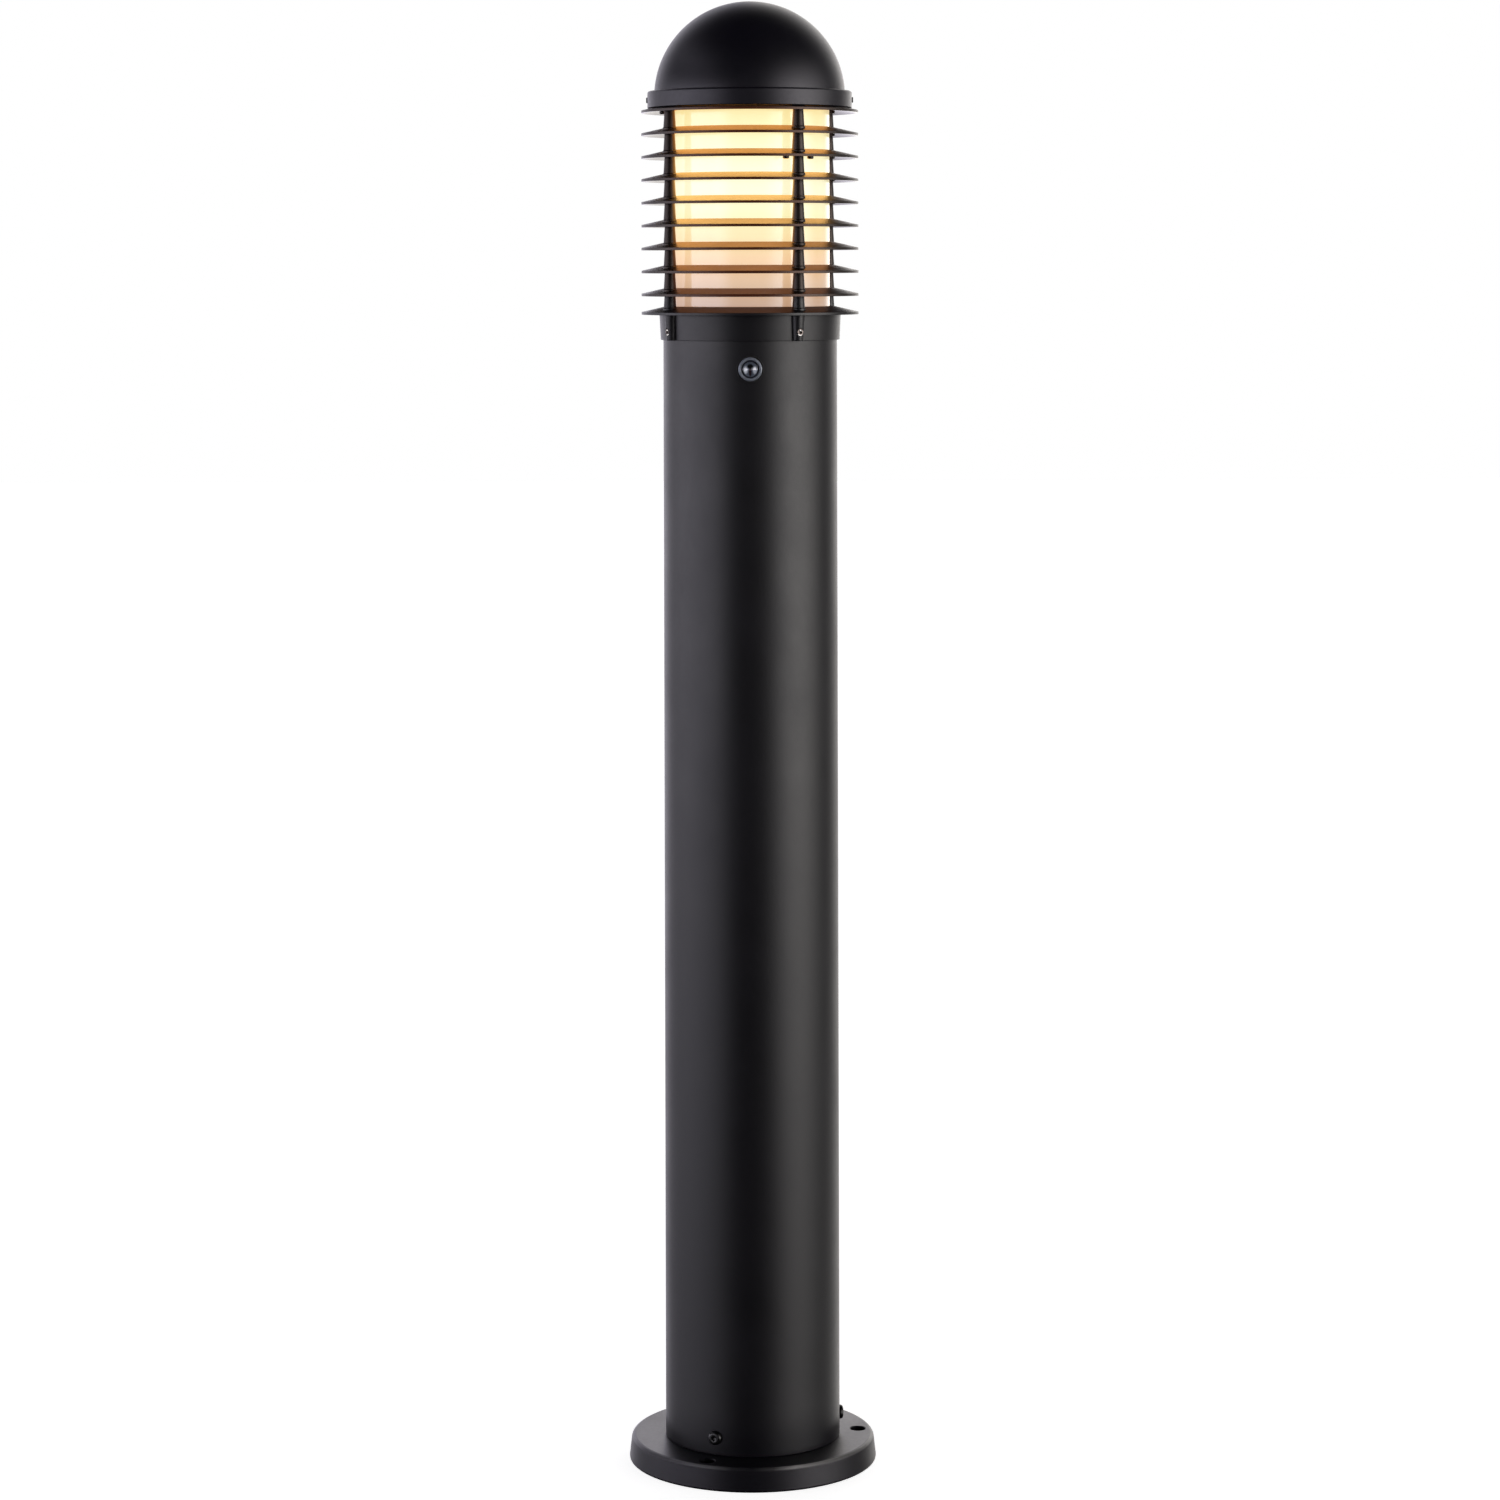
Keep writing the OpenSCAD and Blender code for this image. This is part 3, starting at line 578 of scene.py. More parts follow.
painted_edge_highlight(M["powder_base"])
painted_lip_lamplight(M["powder_louvre"])
M["stainless"] = painted_glint(metal("stainless", (0.155, 0.132, 0.122), 0.3))
# painted shade: the inside of the hex sockets is nearly black and barely reflects, standing in for the shade in the
# socket
M["socket_painted_shade"] = plastic("socket_painted_shade", (0.002, 0.0015, 0.0015), 0.6, 500, 0.1)
M["socket_painted_shade"].node_tree.nodes["Principled BSDF"].inputs["Specular IOR Level"].default_value = 0.03
M["zinc"] = metal("zinc", (0.66, 0.67, 0.69), 0.32)
M["galvanised"] = metal("galvanised", (0.5, 0.52, 0.54), 0.42, spangle=True)
M["white_enamel"] = plastic("white_enamel", (0.80, 0.80, 0.77), 0.28, 180, 0.05, 0.03)
M["porcelain"] = plastic("porcelain", (0.82, 0.81, 0.76), 0.22, 90, 0.05, 0.03, coat=0.6)
M["brass"] = metal("brass", (0.76, 0.56, 0.22), 0.3)
M["lamp_metal"] = metal("lamp_metal", (0.70, 0.69, 0.66), 0.26)
M["lamp_white"] = plastic("lamp_white", (0.83, 0.82, 0.79), 0.32, 200, 0.04, 0.02)
M["gasket_black"] = plastic("gasket_black", (0.008, 0.008, 0.009), 0.62, 500, 0.25, 0.25)
M["black_plastic"] = plastic("black_plastic", (0.014, 0.014, 0.015), 0.45, 600, 0.2, 0.2)
M["cream_plastic"] = plastic("cream_plastic", (0.70, 0.67, 0.56), 0.45, 500, 0.1, 0.05)
M["lead_black"] = plastic("lead_black", (0.012, 0.012, 0.012), 0.42, 400, 0.1)
M["lead_brown"] = plastic("lead_brown", (0.11, 0.035, 0.012), 0.4, 400, 0.1)
M["lead_blue"] = plastic("lead_blue", (0.015, 0.07, 0.33), 0.4, 400, 0.1)
M["lead_green"] = plastic("lead_green", (0.03, 0.22, 0.03), 0.4, 400, 0.1)
M["lead_yellow"] = plastic("lead_yellow", (0.70, 0.52, 0.03), 0.4, 400, 0.1)


def diffuser_mat():
    """Frosted polycarbonate lit from inside: bright warm white in the upper half, fading to a pinkish amber at the foot."""
    m, nt, p = new_mat("diffuser_frost")
    L = nt.links.new
    tc = coords(nt)
    sep = node(nt, "ShaderNodeSeparateXYZ")
    L(tc, sep.inputs[0])
    z = map_range(nt, sep.outputs["Z"], DIF_LOW * MM, DIF_TOP * MM, 0, 1)
    span = DIF_TOP - DIF_LOW

    def at(zz):
        return (zz - DIF_LOW) / span

    # what the eye sees, bay by bay from the foot up
    seen = ramp(nt, z, [
        (0.0, srgb(168, 126, 92)),
        (at(795.3), srgb(193, 156, 128)),
        (at(808.8), srgb(215, 178, 142)),
        (at(824.6), srgb(243, 203, 158)),
        (at(840.4), srgb(252, 226, 172)),
        (at(856.2), srgb(253, 246, 192)),
        (at(872.0), srgb(254, 251, 214)),
        (at(887.8), srgb(254, 251, 212)),
        (at(903.6), srgb(254, 248, 196)),
        (at(919.4), srgb(253, 240, 178)),
        (1.0, srgb(248, 222, 156)),
    ])
    grain = noise(nt, 900, 2, 0.5)
    seen = mix_rgb(nt, 1.0, seen, map_range(nt, grain, 0.3, 0.7, 0.985, 1.01), "MULTIPLY")
    lw = node(nt, "ShaderNodeLayerWeight", Blend=0.5)
    flank = mix_rgb(nt, map_range(nt, lw.outputs["Facing"], 0.02, 0.15, 0, 1, True), (1, 1, 1), (0.965, 0.925, 0.865))
    flank = mix_rgb(nt, map_range(nt, lw.outputs["Facing"], 0.5, 0.88, 0, 1, True), flank, (0.56, 0.50, 0.38))
    seen = mix_rgb(nt, 1.0, seen, flank, "MULTIPLY")
    # what the louvres receive: much brighter, and warmer
    cast = ramp(nt, z, [
        (0.0, (0.026, 0.009, 0.003)),
        (at(795.0), (0.034, 0.012, 0.005)),
        (at(802.0), (0.069, 0.026, 0.010)),
        (at(818.0), (0.158, 0.062, 0.025)),
        (at(834.0), (0.332, 0.132, 0.036)),
        (at(850.0), (0.470, 0.214, 0.054)),
        (at(866.0), (0.757, 0.428, 0.121)),
        (at(882.0), (0.900, 0.516, 0.143)),
        (at(898.0), (0.540, 0.266, 0.062)),
        (at(914.0), (0.56, 0.235, 0.048)),
        (1.0, (0.34, 0.135, 0.028)),
    ])
    # less of it on the right, more so lower down
    side = math_n(nt, "MULTIPLY", map_range(nt, sep.outputs["X"], 0.008, 0.040, 0, 1, True), map_range(nt, sep.outputs["Z"], 0.80, 0.91, 0.36, 0.10))
    cast = mix_rgb(nt, side, cast, (0, 0, 0))
    lp = node(nt, "ShaderNodeLightPath")
    col = mix_rgb(nt, lp.outputs["Is Camera Ray"], cast, seen)
    st = map_range(nt, lp.outputs["Is Camera Ray"], 0, 1, 7.0, 1.0)
    L(col, p.inputs["Emission Color"])
    L(st, p.inputs["Emission Strength"])
    p.inputs["Base Color"].default_value = (0.20, 0.25, 0.28, 1)
    L(map_range(nt, grain, 0.3, 0.7, 0.11, 0.15), p.inputs["Roughness"])
    p.inputs["IOR"].default_value = 1.56
    p.inputs["Specular Tint"].default_value = (0.66, 0.85, 1.0, 1)
    L(bump(nt, grain, 0.04, 0.00005), p.inputs["Normal"])
    return m


M["diffuser_frost"] = diffuser_mat()


def opal_mat():
    m, nt, p = new_mat("lamp_opal")
    L = nt.links.new
    n = noise(nt, 40, 2, 0.5)
    L(mix_rgb(nt, map_range(nt, n, 0.3, 0.7, 0, 1), (1.0, 0.80, 0.50), (1.0, 0.86, 0.60)), p.inputs["Emission Color"])
    p.inputs["Emission Strength"].default_value = 1.5
    p.inputs["Base Color"].default_value = (0.8, 0.76, 0.68, 1)
    L(map_range(nt, n, 0.3, 0.7, 0.22, 0.3), p.inputs["Roughness"])
    return m


M["lamp_opal"] = opal_mat()


def clear_mat():
    m, nt, p = new_mat("cell_clear")
    L = nt.links.new
    n = noise(nt, 200, 2, 0.5)
    p.inputs["Base Color"].default_value = (0.80, 0.83, 0.88, 1)
    p.inputs["Transmission Weight"].default_value = 1.0
    p.inputs["IOR"].default_value = 1.75
    L(map_range(nt, n, 0.3, 0.7, 0.03, 0.08), p.inputs["Roughness"])
    return m


M["cell_clear"] = clear_mat()


def about_cell(nt, x0=0.0, z0=0.0, sx=1.0, sz=1.0):
    """Distance in mm from a point of the sensor's face, scaled across and up."""
    sp = node(nt, "ShaderNodeSeparateXYZ")
    nt.links.new(coords(nt), sp.inputs[0])
    dx = math_n(nt, "MULTIPLY", math_n(nt, "SUBTRACT", sp.outputs["X"], x0 * MM), 1000.0 / sx)
    dz = math_n(nt, "MULTIPLY", math_n(nt, "SUBTRACT", sp.outputs["Z"], (CELL_Z + z0) * MM), 1000.0 / sz)
    return math_n(nt, "SQRT", math_n(nt, "ADD", math_n(nt, "MULTIPLY", dx, dx), math_n(nt, "MULTIPLY", dz, dz)))


def bezel_mat():
    m, nt, p = new_mat("cell_bezel")
    n = noise(nt, 500, 3, 0.6)
    c = mix_rgb(nt, map_range(nt, n, 0.3, 0.7, 0, 1), (0.24, 0.27, 0.325), (0.30, 0.33, 0.385))
    # painted shade: the groove inside the bezel ring is darkened
    c = mix_rgb(nt, map_range(nt, about_cell(nt), 5.9, 6.35, 1, 0, True), c, (0.012, 0.014, 0.026))
    nt.links.new(c, p.inputs["Base Color"])
    nt.links.new(map_range(nt, n, 0.3, 0.7, 0.34, 0.46), p.inputs["Roughness"])
    p.inputs["Metallic"].default_value = 0.2
    return m


def sensor_mat():
    """Sensor face behind the lens: grey-blue, with painted highlights as two pale lobes on both sides, standing in for
    the lens's reflections of the side lights, a dark reddish streak low in the middle and a dark spot above it.
    """
    m, nt, p = new_mat("cell_dark")
    n = noise(nt, 400, 2, 0.5)
    c = mix_rgb(nt, map_range(nt, n, 0.3, 0.7, 0, 1), (0.16, 0.18, 0.22), (0.22, 0.24, 0.29))
    # painted highlights: two pale lobes left and right of the middle
    for x in (-2.7, 2.7):
        c = mix_rgb(nt, map_range(nt, about_cell(nt, x, -0.5, 1.5, 2.6), 0.55, 1.1, 1, 0, True), c, (0.95, 0.95, 1.0))
    c = mix_rgb(nt, map_range(nt, about_cell(nt, 0, -1.6, 0.8, 3.4), 0.6, 1.1, 1, 0, True), c, (0.030, 0.012, 0.014))
    c = mix_rgb(nt, map_range(nt, about_cell(nt, 0, 1.7, 1.7, 1.3), 0.7, 1.1, 1, 0, True), c, (0.003, 0.003, 0.003))
    nt.links.new(c, p.inputs["Base Color"])
    # painted light: the face glows faintly in its own colours
    nt.links.new(c, p.inputs["Emission Color"])
    p.inputs["Emission Strength"].default_value = 0.2
    nt.links.new(map_range(nt, n, 0.3, 0.7, 0.3, 0.4), p.inputs["Roughness"])
    return m


M["cell_bezel"] = bezel_mat()
M["cell_dark"] = sensor_mat()

# ---------------------------------------------------------------- foot
POWDER = M["powder_black"]

base = lathe("base_plate_casting", fillet([
    (30, 0, 0.8), (BASE_R - 0.2, 0, 0.6), (BASE_R, 1.2, 0.6), (BASE_R - 1.75, BASE_TOP, 3.2, 12),
    (POST_RI - 0.12, BASE_TOP), (POST_RI - 0.12, 44, 1.4), (51, 44, 0.4), (51, BASE_TOP, 1.0), (30, BASE_TOP, 0.8)]), 256)
anchor = []
for a in FEET:
    anchor.append(bake(lathe("c", [(0, -2), (5.25, -2), (5.25, BASE_TOP - 0.55), (5.85, BASE_TOP + 0.05), (5.85, BASE_TOP + 3), (0, BASE_TOP + 3)], 48, closed=False), bearing(a, 73, 0)))
    anchor.append(bake(cyl(2.55, 0, 12, 32), radial(a, 49, FOOT_Z)))
boolean(base, anchor, "DIFFERENCE")
done(base, "base_plate", M["powder_base"])

screws = []
for a in FEET:
    head = [(0, -8.55), (2.1, -8.55), (2.5, -8.1), (2.5, 0.0), (4.75, 0.0), (4.75, 0.55)] + arc(2.75, 0.75, 2.0, 4, 78, 9) + [(2.75, 2.75)]
    screws.append(bake(socket_screw(head, 3.0, 1.7), radial(a, POST_R + 0.02, FOOT_Z)))
done(join("base_screw_set", screws), "base_screws", M["black_screw"])

# the post: rows of faces close to each hole keep the curved wall clean around it
zs = sorted({BASE_TOP, BASE_TOP + 0.5, FOOT_Z - 6, FOOT_Z + 6, 120, 240, 360, 480, 600, CELL_Z - 14, CELL_Z + 14, POST_TOP - 0.5, POST_TOP})
outer = [(POST_R - 0.35, BASE_TOP)] + [(POST_R, z) for z in zs[1:-1]] + [(POST_R - 0.35, POST_TOP)]
inner = [(POST_RI, z) for z in reversed(zs)]
post = lathe("post_tube_wall", outer + inner, 256)
boolean(post, [bake(cyl(2.6, 0, 14, 32), radial(a, 50, FOOT_Z)) for a in FEET] + [bake(cyl(6.1, 0, 14, 48), radial(0, 50, CELL_Z))], "DIFFERENCE")
done(post, "post_tube", M["powder_post"])

# ---------------------------------------------------------------- dusk sensor
g = lathe("photocell_gasket_ring", fillet([(6.1, -2.2), (9.35, -2.2), (9.35, 1.3, 0.45), (6.1, 1.3, 0.2)]), 96)
m = radial(0, POST_R, CELL_Z)
for v in g.data.vertices:
    if v.co.z < -1.0 * MM:
        v.co.z = math.sqrt(((POST_R + 0.02) * MM) ** 2 - v.co.x ** 2) - POST_R * MM
bake(g, m)
done(g, "photocell_gasket", M["gasket_black"])

bz = lathe("photocell_bezel_ring", fillet([(5.3, 0), (8.05, 0, 0.1), (8.05, 1.15, 0.6, 6), (7.35, 1.8, 0.5, 6), (6.55, 1.75, 0.35, 5), (6.15, 1.0, 0.2), (6.05, 0.35, 0.15), (5.3, 0.35, 0.1)]), 128)
done(bake(bz, radial(0, POST_R + 1.32, CELL_Z)), "photocell_bezel", M["cell_bezel"])

# the lens is a rounded cone on a thin flange
lens_prof = [(0, 0.15), (5.05, 0.15), (5.05, 0.85), (4.75, 1.0)]
for i in range(1, 28):
    r = 4.7 * math.cos(math.radians(90 * i / 28)) ** 0.8
    lens_prof.append((r, 1.0 + 2.6 * (1 - 0.60 * (math.hypot(r, 0.9) - 0.9) / (math.hypot(4.7, 0.9) - 0.9) - 0.40 * (r / 4.7) ** 6)))
lens = lathe("photocell_lens_dome", lens_prof + [(0, 3.6)], 96, closed=False)
done(bake(lens, radial(0, POST_R + 1.34, CELL_Z)), ["photocell_lens"], M["cell_clear"])
sens = lathe("photocell_sensor_face", [(0, -0.9), (5.0, -0.9), (5.0, 0.12), (0, 0.12)], 64, closed=False)
done(bake(sens, radial(0, POST_R + 1.34, CELL_Z)), ["photocell_sensor"], M["cell_dark"])

# ---------------------------------------------------------------- head: louvres and collar
DROP = (8.7 - 7.1) / (PITCH + 0.6 - 4.8)


def spacer(tall, low, z0, a):
    """Tapered spacer post with a rounded foot, as one closed solid, in place."""
    foot = min(4.8, tall - 0.4)
    r1 = 4.35 - DROP / 2 * (tall - foot)
    prof = fillet([(0, low), (4.8, low, 0.25, 3), (4.8, foot - 0.15, 0.42, 5), (4.3, foot + 0.2, 0.3, 3), (r1, tall, 0.12, 2), (0, tall)], closed=False)
    return bake(lathe("s", prof, 40, closed=False), bearing(a, ROW_R, z0))


def rod_hole(z0, z1, a):
    return bake(cyl(2.1, z0, z1, 32), bearing(a, ROW_R, 0))


TOP_IN = LIP + SLOPE * (LOUVRE_R - LOUVRE_RI)


def louvre_shape(name, tall, trim):
    prof = fillet([(LOUVRE_RI, TOP_IN, 0.45, 4), (LOUVRE_RI, 3.7, 0.45, 4), (LOUVRE_R - 0.95, 0.0, 0.3, 3), (LOUVRE_R, 0.0, 0.18, 3), (LOUVRE_R, LIP, 0.18, 3)])
    ob = lathe(name, prof, 240)
    boolean(ob, [spacer(tall, 0.6, 0, a) for a in ROWS], "UNION")
    if trim:
        z = LIP + SLOPE * (LOUVRE_R - 67.6) + 0.04
        boolean(ob, [lathe("c", [(67.6, z), (72, z - 4.4 * SLOPE), (72, tall + 2), (67.6, tall + 2)], 192)], "DIFFERENCE")
    boolean(ob, [rod_hole(-1, tall + 1, a) for a in ROWS], "DIFFERENCE")
    return ob


# small casting lugs that hang under some louvres beside their spacers: louvre number, bearings
NUBS = {1: [292.3], 3: [22.3, 39.7]}
for i in range(1, 10):
    zb = RIM_Z[i - 1]
    if i <= 2:
        ob = louvre_shape("louvre_%d_ring" % i, (RING_Z - zb) if i == 1 else PITCH + 0.6, i == 1)
        master = ob.data.copy()
    else:
        ob = bpy.data.objects.new("louvre_%d_ring" % i, master.copy())
        bpy.context.scene.collection.objects.link(ob)
    if i in NUBS:
        boolean(ob, [bake(lathe("n", fillet([(0, -1.6), (2.2, -1.6, 0.9, 5), (2.2, 2.6), (0, 2.6)], closed=False), 32, closed=False), bearing(a, ROW_R + 0.6, 0)) for a in NUBS[i]], "UNION")
    bake(ob, Matrix.Translation((0, 0, zb * MM)))
    done(ob, "louvre_%d" % i, M["powder_louvre"])

SL = POST_R + 0.15
col = lathe("collar_casting", fillet([
    (42, POST_TOP + 0.02, 0.3), (SL, POST_TOP + 0.02), (SL, COLLAR_LOW + 0.5), (SL + 0.45, COLLAR_LOW, 0.2), (61.8, COLLAR_LOW, 0.3, 4),
    (62.65, 788.6, 0.8, 4), (62.65, 790.6, 1.0, 5), (LOUVRE_R - 0.95, COLLAR_RIM, 0.3, 3), (LOUVRE_R, COLLAR_RIM, 0.18, 3), (LOUVRE_R, COLLAR_RIM + LIP, 0.18, 3),
    (LOUVRE_RI, COLLAR_RIM + TOP_IN, 0.45, 4), (LOUVRE_RI, SEAT_Z, 0.3), (42, SEAT_Z, 0.4)]), 256)
bosses = []
for a in ROWS:
    b = lathe("b", fillet([(0, 0), (3.6, 0, 0.5, 4), (4.9, 20), (0, 20)], closed=False), 64, closed=False)
    bosses.append(bake(b, bearing(a, 62.5, COLLAR_LOW)))
boolean(col, bosses, "UNION")
boolean(col, [spacer(12.7 + 0.6, 2.4, COLLAR_RIM, a) for a in ROWS], "UNION")
cuts = [cyl(SL - 0.002, COLLAR_LOW - 2, POST_TOP + 0.03, 256)]
boolean(col, cuts, "DIFFERENCE")
cuts = []
for a in ROWS:
    cuts.append(rod_hole(781, 810, a))
    cuts.append(bake(lathe("c", [(0, 0), (2.5, 0), (2.5, 8.45), (3.1, 9.1), (3.1, 12), (0, 12)], 40, closed=False), radial(a, 58, SET_Z)))
    cuts.append(bake(cyl(2.05, 780, 800, 32), bearing(a + 14, 46.5, 0)))
boolean(col, cuts, "DIFFERENCE")
done(col, "collar", POWDER)

screws = []
for a in ROWS:
    prof = [(0, 0), (1.7, 0), (2.46, 0.8), (2.46, 5.75), (2.02, 6.25)]
    screws.append(bake(socket_screw(prof, 2.5, 2.4), radial(a, POST_R + 0.03, SET_Z)))
done(join("collar_set_screw_set", screws), "collar_set_screws", [M["stainless"], M["socket_painted_shade"]])

# ---------------------------------------------------------------- tie rods, nuts, cap ring
rods = [bake(lathe("rod", fillet([(0, 781.2), (2.0, 781.2, 0.4, 2), (2.0, 939.6, 0.5, 3), (0, 939.6)], closed=False), 32, closed=False), bearing(a, ROW_R, 0)) for a in ROWS]
done(join("tie_rod_set", rods), "tie_rods", M["zinc"])


def hex_nut(af, h, rb, seg=48):
    """Hexagon nut with chamfered corners, from z = 0."""
    bm = bmesh.new()
    rings = []

    def ring(f, z):
        rings.append([bm.verts.new((f(TAU * k / seg) * MM * math.cos(TAU * k / seg), f(TAU * k / seg) * MM * math.sin(TAU * k / seg), z * MM)) for k in range(seg)])

    rc = af / 2 * 0.97
    c = (af / math.sqrt(3) - rc) * math.tan(math.radians(30))
    ring(lambda t: rb, 0.25)
    ring(lambda t: rb + 0.25, 0)
    ring(lambda t: rc, 0)
    ring(lambda t: hex_r(af, t), c)
    ring(lambda t: hex_r(af, t), h - c)
    ring(lambda t: rc, h)
    ring(lambda t: rb + 0.25, h)
    ring(lambda t: rb, h - 0.25)
    n = len(rings)
    for i in range(n):
        a, b = rings[i], rings[(i + 1) % n]
        for k in range(seg):
            bm.faces.new((a[k], a[(k + 1) % seg], b[(k + 1) % seg], b[k]))
    bmesh.ops.recalc_face_normals(bm, faces=bm.faces)
    return obj_from_bm("nut", bm)


nut_z = lo_mm("tie_rod_nuts").z
done(join("tie_rod_nut_set", [bake(hex_nut(7, 3, 2.06), bearing(a, ROW_R, nut_z) @ Matrix.Rotation(math.radians(90), 4, "Z")) for a in ROWS]), "tie_rod_nuts", M["zinc"], angle=25)

ring = lathe("cap_ring_plate", fillet([(57.7, RING_Z, 0.3), (67.5, RING_Z, 0.3), (67.5, RING_Z + 2, 0.3), (57.7, RING_Z + 2, 0.3)]), 192)


def block(x0, x1, y0, y1, z0, z1, m, r=0.3):
    """Bevelled block in a local frame, in mm, then placed."""
    bm = bmesh.new()
    bmesh.ops.create_cube(bm, size=1.0)
    for v in bm.verts:
        v.co = Vector(((x0 + x1) / 2 + v.co.x * (x1 - x0), (y0 + y1) / 2 + v.co.y * (y1 - y0), (z0 + z1) / 2 + v.co.z * (z1 - z0))) * MM
    if r > 0:
        bmesh.ops.bevel(bm, geom=bm.edges[:], offset=r * MM, segments=2, affect="EDGES", profile=0.5)
    bmesh.ops.recalc_face_normals(bm, faces=bm.faces)
    return bake(obj_from_bm("block", bm), m)


boolean(ring, [block(-6.5, 6.5, -4, 0, RING_Z - 1, RING_Z + 7, bearing(a, 66.2, 0), 0) for a in (90, 270)], "DIFFERENCE")
boolean(ring, [block(-6, 6, 0.02, 5.9, RING_Z + 0.02, RING_Z + 5.5, bearing(a, 66.2, 0), 0.35) for a in (90, 270)], "UNION")
boolean(ring, [rod_hole(RING_Z - 1, RING_Z + 4, a) for a in ROWS], "DIFFERENCE")
done(ring, "cap_ring", POWDER)

# ---------------------------------------------------------------- diffuser and gaskets
dif = lathe("diffuser_tube", fillet([(52, DIF_LOW, 0.5), (55, DIF_LOW, 0.8), (55, DIF_TOP, 0.8), (52, DIF_TOP, 0.5)]), 256)
done(dif, "diffuser", M["diffuser_frost"])
gz = lo_mm("lower_gasket").z
done(lathe("lower_gasket_ring", fillet([(51, gz, 0.5), (57, gz, 0.5), (57, gz + 2, 0.6), (51, gz + 2, 0.6)]), 192), "lower_gasket", M["gasket_black"])
gz = lo_mm("upper_gasket").z
done(lathe("upper_gasket_ring", fillet([(51, gz, 0.9), (56.5, gz, 0.9), (56.5, gz + 3, 0.5), (51, gz + 3, 0.5)]), 192), "upper_gasket", M["gasket_black"])

# ---------------------------------------------------------------- dome cap
DZ, DR, DRI = DOME_TOP - 66.0, 66.0, 63.4
BL, BT = lo_mm("dome_cap").z, 942.5
SH = BT - 2.5
fa = math.degrees(math.asin((BT - 0.5 - DZ) / DR))
ia = math.degrees(math.asin((SH - DZ) / DRI))
prof = fillet([(68, BL + 0.6, 0.25, 3), (70.35, BL, 0.3, 3), (70.7, BL + 0.35, 0.3, 3), (70.7, BT, 1.35, 8), (66.95, BT, 0.3, 3), (66.42, BT - 0.55, 0.12, 2), (DR * math.cos(math.radians(fa)), BT - 0.5)], closed=False)
prof += arc(0, DZ, DR, fa + 0.4, 90, 72)[:-1] + [(0, DZ + DR), (0, DZ + DRI)] + arc(0, DZ, DRI, 90, ia, 60)[1:] + [(68, SH)]
dome = lathe("dome_cap_casting", prof, 256)
rib = lathe("rib", [(52, DIF_TOP + 3), (56, DIF_TOP + 3)] + [(56, DZ + math.sqrt((DRI + 1) ** 2 - 56 ** 2)), (52, DZ + math.sqrt((DRI + 1) ** 2 - 52 ** 2))], 192)
boolean(dome, [rib], "UNION")
boolean(dome, [block(-4, 4, -2.5, 0, 932.6, SH + 0.6, bearing(a, 66.5, 0), 0.3) for a in (90, 270)], "UNION")
boolean(dome, [bake(cyl(2.05, 0, 14, 32), radial(a, 60, DOME_SCREW_Z)) for a in (90, 270)], "DIFFERENCE")
done(dome, "dome_cap", M["powder_dome"])
screws = []
for a in (90, 270):
    prof = [(0, 0), (1.4, 0), (2.0, 0.6), (2.0, 4.9), (1.7, 5.3)]
    screws.append(bake(socket_screw(prof, 2.0, 2.0), radial(a, 66.24, DOME_SCREW_Z)))
done(join("dome_screw_set", screws), "dome_screws", M["black_screw"])

# ---------------------------------------------------------------- lamp
prof = [(0, 804.3), (3.4, 804.3), (4.4, 804.8), (5.0, 806.2), (6.0, 807.2), (12.0, 808.4), (12.6, 809.0)]
bm = bmesh.new()
seg, rows_n = 96, 120
rings = [[bm.verts.new((r * MM * math.cos(TAU * k / seg), r * MM * math.sin(TAU * k / seg), z * MM)) for k in range(seg)] for r, z in prof[1:]]
for j in range(rows_n + 1):
    z = 809.4 + (828.2 - 809.4) * j / rows_n
    fade = min(1, j / 10, (rows_n - j) / 8)
    ringv = []
    for k in range(seg):
        t = TAU * k / seg
        r = 12.72 + 0.46 * fade * math.cos(TAU * (z / 3.629) - t)
        ringv.append(bm.verts.new((r * MM * math.cos(t), r * MM * math.sin(t), z * MM)))
    rings.append(ringv)
for r, z in ((13.1, 828.7), (13.2, 829.2), (13.2, 830.0)):
    rings.append([bm.verts.new((r * MM * math.cos(TAU * k / seg), r * MM * math.sin(TAU * k / seg), z * MM)) for k in range(seg)])
for a, b in zip(rings, rings[1:]):
    for k in range(seg):
        bm.faces.new((a[k], a[(k + 1) % seg], b[(k + 1) % seg], b[k]))
s = bm.verts.new((0, 0, 804.3 * MM))
e = bm.verts.new((0, 0, 830.0 * MM))
for k in range(seg):
    bm.faces.new((s, rings[0][(k + 1) % seg], rings[0][k]))
    bm.faces.new((rings[-1][k], rings[-1][(k + 1) % seg], e))
bmesh.ops.recalc_face_normals(bm, faces=bm.faces)
done(obj_from_bm("lamp_cap_thread", bm), "lamp_cap", M["lamp_metal"], angle=50)

prof = [(0, 830), (14.0, 830), (14.5, 830.6), (14.6, 831.4), (14.6, 832.6)] + [(15 + 12 * math.sin(math.radians(4.5 * i)) ** 1.2, 833.4 + 1.7 * i) for i in range(0, 21)] + [(26.9, 867.9), (0, 867.9)]
done(lathe("lamp_body_shell", prof, 128, closed=False), "lamp_body", M["lamp_white"])
gz, gr = 881.5, 30.2
a0 = math.degrees(math.asin((868.02 - gz) / gr))
a1 = math.degrees(math.asin((868.02 - gz) / (gr - 1.6)))
prof = arc(0, gz, gr, a0, 90, 40)[:-1] + [(0, gz + gr), (0, gz + gr - 1.6)] + arc(0, gz, gr - 1.6, 90, a1, 36)[1:]
done(lathe("lamp_globe_shell", prof, 128), "lamp_globe", M["lamp_opal"])

